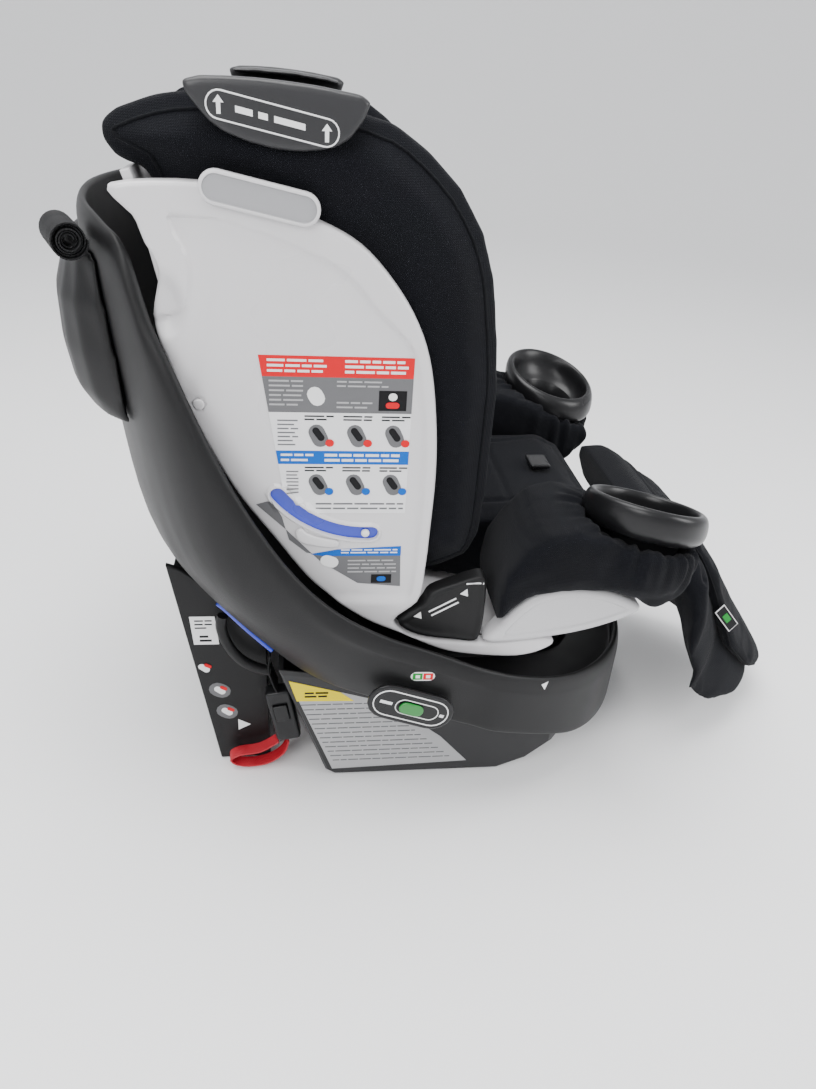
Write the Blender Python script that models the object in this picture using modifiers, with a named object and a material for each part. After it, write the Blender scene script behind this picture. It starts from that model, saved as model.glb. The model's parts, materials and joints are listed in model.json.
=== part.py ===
"""Convertible car seat on a turning base, upright and facing forwards.

Frame: metres, +Z up, origin at the middle of the base's underside. The seat faces -Y and the child's right is -X.
The turntable turns about a vertical axis, and the seat reclines by sliding along an arc above the turntable.
"""
import math

import bmesh
import bpy
from mathutils import Matrix, Vector

# Driving dimensions
SEAT_HALF_WIDTH = 0.200       # outer face of the side panels
PANEL_THICKNESS = 0.0125
SHELL_HALF_WIDTH = SEAT_HALF_WIDTH - 0.014
SHELL_WALL = 0.007
WING_INNER = SEAT_HALF_WIDTH - 0.0555
WING_OUTER = SEAT_HALF_WIDTH - 0.0135
BACK_HALF_WIDTH = WING_INNER - 0.001
ARMREST_INNER = SEAT_HALF_WIDTH - 0.090
ARMREST_OUTER = SEAT_HALF_WIDTH + 0.015
CUSHION_HALF_WIDTH = ARMREST_INNER - 0.003
CUP_SPACING = 2 * SEAT_HALF_WIDTH - 0.055
CUP_RIM_RADIUS = 0.057
CUP_BODY_RADIUS = 0.0370
CUP_BORE_GAP = 0.0020
CUP_DEPTH = 0.064
CUP_RIM_DROP = 0.0195         # the rim's underside, below the cup's centre
CUP_CENTRE_Y = -0.250
CUP_CENTRE_Z = 0.330
CUP_TILT_IN = 15.0            # degrees, towards the child
CUP_TILT_FORWARD = 12.0
AXIS_Y = -0.110               # the turntable's vertical axis
TURNTABLE_RADIUS = 0.140
TURNTABLE_BOTTOM = 0.112
TURNTABLE_THICKNESS = 0.028
RECLINE_CENTRE_Z = 0.750      # the recline arc's centre is above the turntable's axis
RAIL_RADIUS = 0.580
RAIL_HALF_LENGTH = 0.100
CARRIER_WALL = 0.010
TUB_HALF_WIDTH = 0.165
TUB_FRONT_RADIUS = 0.190
TUB_WALL = 0.005
CHEEK_X = 0.130
PIVOT_RADIUS = 0.011
LATCH_RADIUS = 0.006
LATCH_OFFSET = 0.122          # the latch pin's distance from the turntable's axis
BOLT_RADIUS = 0.005
STRAP_WIDTH = 0.038
STRAP_THICKNESS = 0.0016

GAP = 0.0005                  # between pieces that touch
RUNNING_GAP = 0.0006          # round a pin that turns or slides

COLLECTION = "convertible_car_seat"
MATERIALS = {
    "shell_white": ((0.70, 0.69, 0.69), 0.38, 0.0),
    "matte_black": ((0.020, 0.020, 0.021), 0.55, 0.0),
    "base_grey": ((0.045, 0.045, 0.047), 0.50, 0.0),
    "satin_black": ((0.028, 0.028, 0.030), 0.30, 0.0),
    "handle_grey": ((0.050, 0.050, 0.053), 0.32, 0.0),
    "badge_grey": ((0.50, 0.50, 0.51), 0.40, 0.0),
    "fabric_black": ((0.008, 0.009, 0.011), 0.95, 0.0),
    "webbing_black": ((0.012, 0.012, 0.013), 0.80, 0.0),
    "webbing_red": ((0.55, 0.010, 0.035), 0.75, 0.0),
    "signal_blue": ((0.010, 0.060, 0.650), 0.35, 0.0),
    "signal_green": ((0.010, 0.300, 0.080), 0.35, 0.0),
    "signal_red": ((0.600, 0.020, 0.020), 0.40, 0.0),
    "steel": ((0.560, 0.570, 0.580), 0.30, 1.0),
}
SIDES = (("right", -1), ("left", 1))


# ---------------------------------------------------------------- helpers
def clear_scene():
    for obj in list(bpy.data.objects):
        bpy.data.objects.remove(obj, do_unlink=True)


def make_material(name):
    colour, roughness, metallic = MATERIALS[name]
    mat = bpy.data.materials.new(name)
    mat.use_nodes = True
    shader = mat.node_tree.nodes["Principled BSDF"]
    shader.inputs["Base Color"].default_value = (*colour, 1.0)
    shader.inputs["Roughness"].default_value = roughness
    shader.inputs["Metallic"].default_value = metallic
    return mat


def new_collection(name):
    collection = bpy.data.collections.new(name)
    bpy.context.scene.collection.children.link(collection)
    return collection


def body_empty(name, place, parent=None):
    """An empty on a joint's axis, which carries the pieces of one moving body."""
    empty = bpy.data.objects.new("axis_" + name, None)
    parts.objects.link(empty)
    empty.location = place
    bpy.context.view_layer.update()
    if parent:
        keep_place_under(empty, parent)
    return empty


def keep_place_under(obj, parent):
    obj.parent = parent
    obj.matrix_parent_inverse = parent.matrix_world.inverted()
    bpy.context.view_layer.update()


def finish(obj, name, material, body, collection=None):
    obj.name = name
    obj.data.name = name
    obj.data.materials.clear()
    obj.data.materials.append(surfaces[material])
    (collection or parts).objects.link(obj)
    bpy.context.view_layer.update()
    if body:
        keep_place_under(obj, body)
    return obj


def smooth(points, steps=3, closed=True):
    """Points on a Catmull-Rom curve through the given points."""
    count = len(points)
    out = []
    for i in range(count if closed else count - 1):
        near = [points[(i + k) % count if closed else min(max(i + k, 0), count - 1)] for k in (-1, 0, 1, 2)]
        for s in range(steps):
            t = s / steps
            out.append(tuple(0.5 * ((2 * b) + (c - a) * t + (2 * a - 5 * b + 4 * c - d) * t * t
                                    + (3 * b - a - 3 * c + d) * t ** 3) for a, b, c, d in zip(*near)))
    if not closed:
        out.append(tuple(points[-1]))
    return out


def blend_at(x, pairs):
    """A smooth value at x, from (x, value) pairs in rising order."""
    if x <= pairs[0][0]:
        return pairs[0][1]
    for (x0, v0), (x1, v1) in zip(pairs, pairs[1:]):
        if x <= x1:
            return v0 + (v1 - v0) * (x - x0) / (x1 - x0)
    return pairs[-1][1]


def offset_line(line, distance):
    """The line moved sideways; a positive distance moves it to the left of its direction."""
    out = []
    for i, p in enumerate(line):
        a, b = line[max(i - 1, 0)], line[min(i + 1, len(line) - 1)]
        d = Vector((b[0] - a[0], b[1] - a[1])).normalized()
        out.append((p[0] - d.y * distance, p[1] + d.x * distance))
    return out


def thick_line(line, thickness):
    return list(line) + offset_line(line, thickness)[::-1]


def curve_plate(outline, thickness, edge, rounding):
    """A flat outline as a 2D curve with rounded edges, lying in its own XY plane."""
    curve = bpy.data.curves.new("plate", "CURVE")
    curve.dimensions = "2D"
    curve.fill_mode = "BOTH"
    curve.extrude = thickness / 2 - edge
    curve.bevel_depth = edge
    curve.offset = -edge
    curve.bevel_resolution = rounding
    spline = curve.splines.new("POLY")
    spline.points.add(len(outline) - 1)
    for point, (a, b) in zip(spline.points, outline):
        point.co = (a, b, 0.0, 1.0)
    spline.use_cyclic_u = True
    return bpy.data.objects.new("plate", curve)


def plate(name, outline, x0, x1, material, body, edge=0.0012, rounding=0):
    """A plate whose outline is (y, z) points and whose thickness runs from x0 to x1."""
    obj = curve_plate(outline, abs(x1 - x0), edge, rounding)
    obj.location = ((x0 + x1) / 2, 0.0, 0.0)
    obj.rotation_euler = (math.pi / 2, 0.0, math.pi / 2)
    return finish(obj, name, material, body)


def side_plates(name, outline, inner, outer, material, body, edge=0.0012, rounding=0):
    return [plate(f"{name}_{side}", outline, sign * inner, sign * outer, material, body, edge, rounding)
            for side, sign in SIDES]


def mesh_object(name, vertices, faces):
    mesh = bpy.data.meshes.new(name)
    mesh.from_pydata(vertices, [], faces)
    mesh.update()
    return bpy.data.objects.new(name, mesh)


def block(name, size, centre, material, body, edge=0.0015, rotation=(0, 0, 0), segments=1):
    bm = bmesh.new()
    bmesh.ops.create_cube(bm, size=1.0)
    bmesh.ops.scale(bm, vec=size, verts=bm.verts)
    mesh = bpy.data.meshes.new(name)
    bm.to_mesh(mesh)
    bm.free()
    obj = bpy.data.objects.new(name, mesh)
    obj.location = centre
    obj.rotation_euler = rotation
    if edge:
        bevel = obj.modifiers.new("edge", "BEVEL")
        bevel.width = edge
        bevel.segments = segments
    return finish(obj, name, material, body)


def turned(name, profile, centre, material, body, steps=40, rotation=(0, 0, 0), closed=True):
    """A profile of (radius, height) points turned about its own Z axis. It runs down the outer side."""
    count = len(profile)
    mesh = bpy.data.meshes.new(name)
    edges = [(i, (i + 1) % count) for i in range(count if closed else count - 1)]
    mesh.from_pydata([(r, 0.0, z) for r, z in profile], edges, [])
    obj = bpy.data.objects.new(name, mesh)
    screw = obj.modifiers.new("turn", "SCREW")
    screw.steps = screw.render_steps = steps
    screw.use_merge_vertices = True
    screw.merge_threshold = 0.00001
    screw.use_smooth_shade = True
    obj.location = centre
    obj.rotation_euler = rotation
    return finish(obj, name, material, body)


def pin(name, radius, start, end, material, body, steps=20):
    """A solid round pin between two points."""
    start, end = Vector(start), Vector(end)
    length = (end - start).length
    profile = [(0.0, length), (radius, length), (radius, 0.0), (0.0, 0.0)]
    turn = Vector((0, 0, 1)).rotation_difference(end - start).to_euler()
    return turned(name, profile, start, material, body, steps, turn, closed=False)


def ribbon(name, line, across, width, thickness, material, body, steps=3):
    """A strap along a line of points, with its width along one direction."""
    half = Vector(across).normalized() * width / 2
    points = [Vector(p) for p in smooth(line, steps, closed=False)]
    vertices = [tuple(p + s * half) for p in points for s in (-1, 1)]
    faces = [(2 * i, 2 * i + 2, 2 * i + 3, 2 * i + 1) for i in range(len(points) - 1)]
    obj = mesh_object(name, vertices, faces)
    wall = obj.modifiers.new("thickness", "SOLIDIFY")
    wall.thickness = thickness
    wall.offset = 0.0
    return finish(obj, name, material, body)


def loft(name, sections, material, body, around):
    """A closed skin through sections of the same number of points; around joins the last to the first."""
    per = len(sections[0])
    vertices = [tuple(p) for section in sections for p in section]
    faces = []
    count = len(sections)
    for i in range(count if around else count - 1):
        j = (i + 1) % count
        for k in range(per):
            m = (k + 1) % per
            faces.append((i * per + k, i * per + m, j * per + m, j * per + k))
    if not around:
        faces.append(tuple(range(per)))
        faces.append(tuple((count - 1) * per + k for k in range(per))[::-1])
    obj = mesh_object(name, vertices, faces)
    bm = bmesh.new()
    bm.from_mesh(obj.data)
    bmesh.ops.recalc_face_normals(bm, faces=bm.faces)
    bm.to_mesh(obj.data)
    bm.free()
    return finish(obj, name, material, body)


def as_mesh(obj):
    """The object's finished surface as a mesh object in the same place, so it can be cut."""
    depsgraph = bpy.context.evaluated_depsgraph_get()
    mesh = bpy.data.meshes.new_from_object(obj.evaluated_get(depsgraph))
    bm = bmesh.new()
    bm.from_mesh(mesh)
    bmesh.ops.remove_doubles(bm, verts=bm.verts, dist=0.00001)
    bmesh.ops.recalc_face_normals(bm, faces=bm.faces)
    bm.to_mesh(mesh)
    bm.free()
    name, home, place, parent = obj.name, obj.users_collection[0], obj.matrix_world.copy(), obj.parent
    bpy.data.objects.remove(obj, do_unlink=True)
    solid = bpy.data.objects.new(name, mesh)
    solid.name = name
    home.objects.link(solid)
    solid.matrix_world = place
    bpy.context.view_layer.update()
    if parent:
        keep_place_under(solid, parent)
    return solid


def as_cutter(obj):
    obj = as_mesh(obj)
    for home in list(obj.users_collection):
        home.objects.unlink(obj)
    cutters.objects.link(obj)
    obj.hide_render = True
    obj.display_type = "WIRE"
    return obj


def combine(obj, cutter, operation):
    step = obj.modifiers.new(operation.lower(), "BOOLEAN")
    step.operation = operation
    step.solver = "EXACT"
    step.object = cutter
    return obj


# ---------------------------------------------------------------- carrier bowl: sizes by angle from the rear
# Each list gives a value at angles in degrees, 0 at the rear and 180 at the front.
RIM_HEIGHT = [(0, 0.566), (24, 0.564), (32, 0.556), (34.6, 0.540), (35.2, 0.510), (39, 0.468), (42, 0.424),
              (45, 0.384), (48.5, 0.339), (53, 0.295), (58, 0.260), (66, 0.232), (76, 0.212), (85, 0.194),
              (95, 0.177), (107, 0.160), (120, 0.145), (135, 0.134), (160, 0.124), (180, 0.121)]
SKIRT_HEIGHT = [(0, 0.260), (30, 0.258), (32, 0.240), (34, 0.218), (39, 0.175), (44, 0.156), (62, 0.155),
                (80, 0.131), (90, 0.118), (103, 0.099), (122, 0.066), (135, 0.052), (160, 0.044), (180, 0.042)]
REAR_RADIUS = [(0.15, 0.243), (0.175, 0.262), (0.20, 0.280), (0.223, 0.297), (0.25, 0.315), (0.27, 0.327),
               (0.30, 0.338), (0.36, 0.345), (0.44, 0.352), (0.50, 0.358), (0.56, 0.362)]
SIDE_REACH = [(0.12, 0.228), (0.20, 0.230), (0.25, 0.238), (0.30, 0.243), (0.38, 0.243), (0.47, 0.238), (0.56, 0.232)]
FRONT_RADIUS = [(90, 0.228), (103, 0.2206), (122, 0.213), (135, 0.209), (180, 0.2025)]
FLOOR_HEIGHT = [(0.146, 0.145), (0.20, 0.160), (0.225, 0.180), (0.26, 0.215), (0.30, 0.255), (0.34, 0.295)]
FLOOR_INNER_RADIUS = 0.146
FLOOR_THICKNESS = 0.008
RIM_CLEARANCE = 0.012         # the floor's edge stays this far under the rim
CARRIER_ANGLES = [0, 8, 16, 24, 29, 32, 34, 35, 36, 37.5, 39.5, 42, 45, 48, 51, 54, 58, 62, 67, 73, 80, 88, 96,
                  104, 112, 121, 130, 140, 150, 160, 170]


def carrier_radius(angle, z):
    """The outer radius of the carrier bowl, at an angle from the rear and a height."""
    if angle >= 90:
        return blend_at(angle, FRONT_RADIUS)
    rear = blend_at(z, REAR_RADIUS)
    side = blend_at(z, SIDE_REACH) / max(math.sin(math.radians(angle)), 0.05)
    power = 18
    return (rear ** -power + side ** -power) ** (-1 / power)


def floor_height(angle, radius):
    return min(blend_at(radius, FLOOR_HEIGHT), blend_at(angle, RIM_HEIGHT) - RIM_CLEARANCE)


def polar(angle, side, radius, z):
    a = math.radians(angle)
    return (side * radius * math.sin(a), AXIS_Y + radius * math.cos(a), z)


def carrier_section(angle, side):
    """The bowl's section at one angle: outer wall, rim, inner wall, floor and underside."""
    top = blend_at(angle, RIM_HEIGHT)
    low = blend_at(angle, SKIRT_HEIGHT)
    corner = 0.10
    while corner < floor_height(angle, carrier_radius(angle, corner) - CARRIER_WALL) and corner < top:
        corner += 0.0005
    under = corner - FLOOR_THICKNESS
    low = min(low, under - 0.001)
    points = []
    for i in range(7):
        z = low + (top - low) * i / 6
        points.append((carrier_radius(angle, z), z))
    radius = carrier_radius(angle, top)
    points.append((radius - CARRIER_WALL * 0.25, top + 0.0035))
    points.append((radius - CARRIER_WALL * 0.75, top + 0.0035))
    for i in range(5):
        z = top + (corner - top) * i / 4
        points.append((carrier_radius(angle, z) - CARRIER_WALL, z))
    outer = carrier_radius(angle, corner) - CARRIER_WALL
    for i in (1, 2, 3):
        r = outer + (FLOOR_INNER_RADIUS - outer) * i / 3
        points.append((r, floor_height(angle, r)))
    for i in (3, 2, 1):
        r = outer + (FLOOR_INNER_RADIUS - outer) * i / 3
        points.append((r, floor_height(angle, r) - FLOOR_THICKNESS))
    points.append((carrier_radius(angle, under) - CARRIER_WALL, under))
    points.append((carrier_radius(angle, low) - CARRIER_WALL, low))
    return [polar(angle, side, r, z) for r, z in points]


def carrier_bowl():
    one = [carrier_section(a, 1) for a in CARRIER_ANGLES]
    front = [carrier_section(180, 1)]
    other = [carrier_section(a, -1) for a in CARRIER_ANGLES[:0:-1]]
    loft("carrier_bowl", one + front + other, "matte_black", None, around=True)


def tether_pocket():
    """The bulge on the upright's back that holds the rolled tether."""
    reach, swell = 27.0, 0.030
    rows = [(0.405, 0.0), (0.405, 0.6), (0.425, 0.95), (0.46, 1.0), (0.50, 0.85), (0.535, 0.4), (0.542, 0.0)]
    sections = []
    for i in range(15):
        angle = -reach + 2 * reach * i / 14
        full = max(math.cos(math.pi / 2 * (abs(angle) / reach) ** 4), 0.12)
        section = []
        for z, part in rows:
            r = carrier_radius(abs(angle), z) + 2 * GAP + swell * part * full
            section.append(polar(abs(angle), 1 if angle > 0 else -1, r, z))
        sections.append(section)
    loft("tether_pocket", sections, "matte_black", None, around=False)


# ---------------------------------------------------------------- base
TUB_OUTLINE = [(0.088, 0.146), (0.040, 0.007), (0.030, 0.0), (-0.150, 0.0), (-0.182, 0.014), (-0.214, 0.044),
               (-0.250, 0.062), (-0.300, 0.074), (-0.302, 0.084)]


def tub_block(name, inset):
    """The tub's side outline, kept inside its plan of straight sides and a round front."""
    half = TUB_HALF_WIDTH - inset
    if inset:
        line = [(0.088 - inset, 0.20), (0.088 - inset, 0.146), (0.040 - inset, 0.007 + inset), (-0.150, inset),
                (-0.180, 0.014 + inset), (-0.212, 0.044 + inset), (-0.25, 0.062 + inset), (-0.31, 0.2)]
    else:
        line = TUB_OUTLINE
    side = plate(name, line, -half, half, "base_grey", None, edge=0.003 if not inset else 0.0005)
    radius = TUB_FRONT_RADIUS - inset
    turn = math.asin(half / radius)
    arc = [(radius * math.sin(turn - 2 * turn * i / 16), AXIS_Y - radius * math.cos(turn - 2 * turn * i / 16))
           for i in range(17)]
    plan = curve_plate([(-half, 0.2), (half, 0.2)] + arc, 0.6, 0.0005, 0)
    finish(plan, name + "_plan", "base_grey", None)
    return combine(as_mesh(side), as_cutter(plan), "INTERSECT")


def base_parts():
    carrier_bowl()
    tether_pocket()
    tub = tub_block("base_tub", 0.0)
    combine(tub, as_cutter(tub_block("tub_hollow", TUB_WALL)), "DIFFERENCE")
    web_top = TURNTABLE_BOTTOM - 0.018
    block("base_web", (2 * (TUB_HALF_WIDTH - TUB_WALL) - 0.008, 0.240, 0.008), (0, -0.076, web_top - 0.004), "base_grey", None)
    race_top, race_bottom = TURNTABLE_BOTTOM - GAP, web_top + GAP
    turned("bearing_race", [(0.105, race_top), (0.105, race_bottom), (0.080, race_bottom), (0.080, race_top)],
           (0, AXIS_Y, 0), "steel", None)
    plate_top = TURNTABLE_BOTTOM + TURNTABLE_THICKNESS
    turned("pivot_bolt", [(0.0, plate_top + 0.008), (0.016, plate_top + 0.008), (0.018, plate_top + 0.006),
                          (0.018, plate_top + GAP), (PIVOT_RADIUS, plate_top + GAP), (PIVOT_RADIUS, web_top + GAP),
                          (0.0, web_top + GAP)], (0, AXIS_Y, 0), "steel", None, 24, closed=False)
    rear_panel()
    seat_lock()
    anchor_parts()
    pin("tether_roll", 0.013, (-0.185, 0.2235, 0.553), (-0.140, 0.2420, 0.553), "webbing_black", None)


def rear_panel():
    """The panel that meets the vehicle's seat back, with a cheek on each side."""
    cheek = [(0.100, 0.0), (0.1535, 0.0), (0.192, 0.2515), (0.178, 0.246), (0.155, 0.226), (0.128, 0.200),
             (0.100, 0.176)]
    back = plate("rear_panel", [(0.1465, 0.0006), (0.1527, 0.0006), (0.1888, 0.2365), (0.1826, 0.2345)],
                 -CHEEK_X, CHEEK_X, "matte_black", None, edge=0.0005)
    panel = as_mesh(back)
    for side, sign in SIDES:
        wall = plate("cheek_" + side, cheek, sign * (CHEEK_X - 0.004), sign * (CHEEK_X + 0.003), "matte_black", None)
        combine(panel, as_cutter(wall), "UNION")


def seat_lock():
    """The seat-lock slider on the carrier's right side, and the bolt that it pushes into the turntable."""
    tilt = math.radians(20)
    place = (-0.2345, -0.036, 0.158)
    pill = capsule(0.085, 0.040)
    bezel = curve_plate(pill, 0.004, 0.0008, 0)
    tilted(bezel, place, tilt)
    finish(bezel, "seat_lock_bezel", "satin_black", None)
    slider = curve_plate(capsule(0.024, 0.013), 0.0025, 0.0005, 0)
    tilted(slider, (place[0] - 0.0036, place[1], place[2]), tilt)
    finish(slider, "seat_lock_slider", "signal_green", axes["seat_lock"])
    pin("seat_lock_bolt", BOLT_RADIUS, (-0.1425, AXIS_Y, 0.126), (-0.158, AXIS_Y, 0.126), "steel",
        axes["seat_lock_bolt"])


def capsule(length, width, steps=8):
    half, r = length / 2 - width / 2, width / 2
    right = [(half + r * math.cos(t), r * math.sin(t)) for t in
             (math.pi * (i / steps - 0.5) for i in range(steps + 1))]
    return right + [(-a, -b) for a, b in right]


def tilted(obj, place, tilt):
    """Stand a flat outline in the YZ plane and dip its front end."""
    obj.location = place
    across = Vector((0, math.cos(tilt), math.sin(tilt)))
    up = Vector((0, -math.sin(tilt), math.cos(tilt)))
    obj.rotation_mode = "XYZ"
    obj.rotation_euler = Matrix((across, up, (1, 0, 0))).transposed().to_euler()


def anchor_parts():
    """Lower-anchor straps, their connectors with release buttons, and the red pull loops."""
    for side, sign in SIDES:
        x = sign * 0.146
        ribbon(f"anchor_strap_{side}", [(x, 0.096, 0.160), (x, 0.098, 0.142), (x, 0.094, 0.124), (x, 0.090, 0.1125)],
               (1, 0, 0), 0.024, STRAP_THICKNESS, "webbing_black", None)
        lean = (math.radians(-10), 0, 0)
        connector = as_mesh(block(f"anchor_connector_{side}", (0.018, 0.026, 0.068), (x, 0.0845, 0.0765),
                                  "satin_black", None, edge=0.004, rotation=lean, segments=2))
        pocket = block("pocket_" + side, (0.008, 0.0152, 0.0212), (x + sign * 0.0105, 0.086, 0.084),
                       "satin_black", None, edge=0, rotation=lean)
        combine(connector, as_cutter(pocket), "DIFFERENCE")
        block(f"anchor_button_{side}", (0.0035, 0.014, 0.020), (x + sign * 0.01025, 0.086, 0.084), "satin_black",
              axes["anchor_button_" + side], edge=0.0006, rotation=lean)
        loop = [(x, 0.080, 0.0395), (x, 0.086, 0.022), (x, 0.105, 0.008), (x, 0.130, 0.006), (x, 0.142, 0.014),
                (x, 0.132, 0.022), (x, 0.110, 0.026), (x, 0.0905, 0.0395)]
        ribbon(f"pull_loop_{side}", loop, (1, 0.1, 0), 0.014, STRAP_THICKNESS, "webbing_red", None)


# ---------------------------------------------------------------- turntable
def turntable_parts():
    top = TURNTABLE_BOTTOM + TURNTABLE_THICKNESS
    hole = PIVOT_RADIUS + RUNNING_GAP
    disc = turned("turntable_plate", [(TURNTABLE_RADIUS - 0.006, top), (TURNTABLE_RADIUS, top - 0.006),
                                      (TURNTABLE_RADIUS, TURNTABLE_BOTTOM), (hole, TURNTABLE_BOTTOM), (hole, top)],
                  (0, AXIS_Y, 0), "matte_black", axes["turntable"], steps=44)
    disc = as_mesh(disc)
    latch_y = AXIS_Y - LATCH_OFFSET
    combine(disc, as_cutter(pin("latch_hole", LATCH_RADIUS + RUNNING_GAP, (0, latch_y, TURNTABLE_BOTTOM - 0.01),
                                (0, latch_y, top + 0.01), "steel", None)), "DIFFERENCE")
    for side, sign in SIDES:
        hole = pin("bolt_hole_" + side, BOLT_RADIUS + RUNNING_GAP, (sign * 0.126, AXIS_Y, 0.126),
                   (sign * 0.150, AXIS_Y, 0.126), "steel", None)
        combine(disc, as_cutter(hole), "DIFFERENCE")
    pin("rotation_latch", LATCH_RADIUS, (0, latch_y, TURNTABLE_BOTTOM - 0.018 + GAP), (0, latch_y, top + 0.006),
        "steel", axes["rotation_latch"])
    arc = [recline_arc(RAIL_RADIUS, RAIL_HALF_LENGTH * (1 - 2 * i / 12)) for i in range(13)]
    rail = [(AXIS_Y - RAIL_HALF_LENGTH, top - 0.004), (AXIS_Y + RAIL_HALF_LENGTH, top - 0.004)] + arc
    for rib in side_plates("recline_rail", rail, 0.070, 0.086, "matte_black", None, edge=0.0004):
        combine(disc, as_cutter(rib), "UNION")


def recline_arc(radius, along):
    """A point on the recline arc, at a distance along Y from the turntable's axis."""
    return (AXIS_Y + along, RECLINE_CENTRE_Z - math.sqrt(radius ** 2 - along ** 2))


# ---------------------------------------------------------------- seat: outlines are (y, z) points
SHELL_LINE = [(-0.245, 0.2275), (-0.20, 0.2120), (-0.15, 0.2045), (-0.10, 0.2045), (-0.05, 0.2150), (0.0, 0.2365),
              (0.035, 0.2640), (0.07, 0.3060), (0.10, 0.3530), (0.125, 0.4030), (0.147, 0.4560), (0.162, 0.510),
              (0.172, 0.560), (0.184, 0.600)]
PANEL_OUTLINE = [(0.190, 0.5925), (0.130, 0.5970), (0.090, 0.5890), (0.050, 0.5750), (0.020, 0.560), (-0.005, 0.535),
                 (-0.025, 0.505), (-0.0375, 0.470), (-0.045, 0.420), (-0.0475, 0.375), (-0.0465, 0.325),
                 (-0.045, 0.285), (-0.0405, 0.252), (-0.020, 0.232), (-0.041, 0.2135), (-0.080, 0.2065),
                 (-0.120, 0.2045), (-0.160, 0.2085), (-0.176, 0.2035), (-0.165, 0.1935), (-0.140, 0.187),
                 (-0.0975, 0.190), (-0.065, 0.1975), (-0.025, 0.2175), (0.005, 0.2325), (0.035, 0.255),
                 (0.060, 0.280), (0.0875, 0.320), (0.115, 0.360), (0.135, 0.400), (0.150, 0.435), (0.163, 0.475),
                 (0.170, 0.505), (0.1625, 0.5375), (0.170, 0.556), (0.1765, 0.5740)]
GUIDE_OUTLINE = [(-0.0235, 0.2320), (-0.0440, 0.2500), (-0.0520, 0.2640), (-0.0750, 0.2740), (-0.0880, 0.2790),
                 (-0.1005, 0.2780), (-0.1030, 0.2450), (-0.1000, 0.2110), (-0.0800, 0.2105), (-0.0430, 0.2170)]
POD_OUTLINE = [(-0.106, 0.2090), (-0.114, 0.2220), (-0.128, 0.2425), (-0.145, 0.2590), (-0.165, 0.2670),
               (-0.185, 0.2690), (-0.215, 0.2650), (-0.240, 0.2550), (-0.2525, 0.2450), (-0.240, 0.2350),
               (-0.215, 0.2245), (-0.190, 0.2175), (-0.165, 0.2130), (-0.135, 0.2090)]
ARMREST_OUTLINE = [(-0.112, 0.250), (-0.116, 0.280), (-0.130, 0.305), (-0.150, 0.328), (-0.175, 0.335),
                   (-0.205, 0.329), (-0.250, 0.312), (-0.284, 0.297), (-0.293, 0.283), (-0.282, 0.262),
                   (-0.266, 0.2485), (-0.256, 0.2500), (-0.242, 0.2590), (-0.215, 0.2685), (-0.185, 0.2725),
                   (-0.165, 0.2710), (-0.143, 0.2630), (-0.124, 0.2460), (-0.1145, 0.2310)]
WING_OUTLINE = [(0.030, 0.2760), (0.056, 0.3080), (0.086, 0.3550), (0.111, 0.4050), (0.133, 0.4570), (0.148, 0.5110),
                (0.158, 0.5610), (0.171, 0.6000), (0.189, 0.6070), (0.1975, 0.6200), (0.1965, 0.6320),
                (0.185, 0.6400), (0.160, 0.6490), (0.135, 0.6530), (0.110, 0.6535), (0.070, 0.6525),
                (0.035, 0.6490), (-0.005, 0.6390), (-0.030, 0.6230), (-0.055, 0.6000), (-0.075, 0.5700),
                (-0.0875, 0.5350), (-0.095, 0.4900), (-0.100, 0.4500), (-0.1005, 0.3500), (-0.098, 0.3100),
                (-0.088, 0.2860), (-0.060, 0.2720), (-0.020, 0.2660)]
BACK_LEAN = 1 / 3             # the back cushion's front face moves this far back for each metre up
BACK_FRONT_Y = 0.050          # where that face is, at BACK_FRONT_Z
BACK_FRONT_Z = 0.380
BACK_OUTLINE = [(0.025, 0.290), (0.050, 0.3030), (0.084, 0.3550), (0.109, 0.4050), (0.131, 0.4570), (0.146, 0.5110),
                (0.156, 0.5610), (0.169, 0.5990), (0.180, 0.6200), (0.168, 0.6380), (0.146, 0.6370),
                (0.130, 0.620), (0.110, 0.560), (0.090, 0.500), (0.070, 0.440), (0.050, 0.380), (0.022, 0.330),
                (-0.004, 0.300), (0.002, 0.288)]
CUSHION_OUTLINE = [(0.016, 0.2620), (-0.020, 0.2400), (-0.050, 0.2270), (-0.100, 0.2165), (-0.150, 0.2165),
                   (-0.200, 0.2235), (-0.240, 0.2370), (-0.254, 0.2560), (-0.250, 0.2800), (-0.222, 0.2940),
                   (-0.150, 0.2920), (-0.080, 0.2820), (-0.020, 0.2800), (0.012, 0.2820), (0.022, 0.2760)]


def back_face(z, forward):
    """The (y, z) place of a point that stands forward of the back cushion's face."""
    return (BACK_FRONT_Y + BACK_LEAN * (z - BACK_FRONT_Z) - forward, z)


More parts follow.
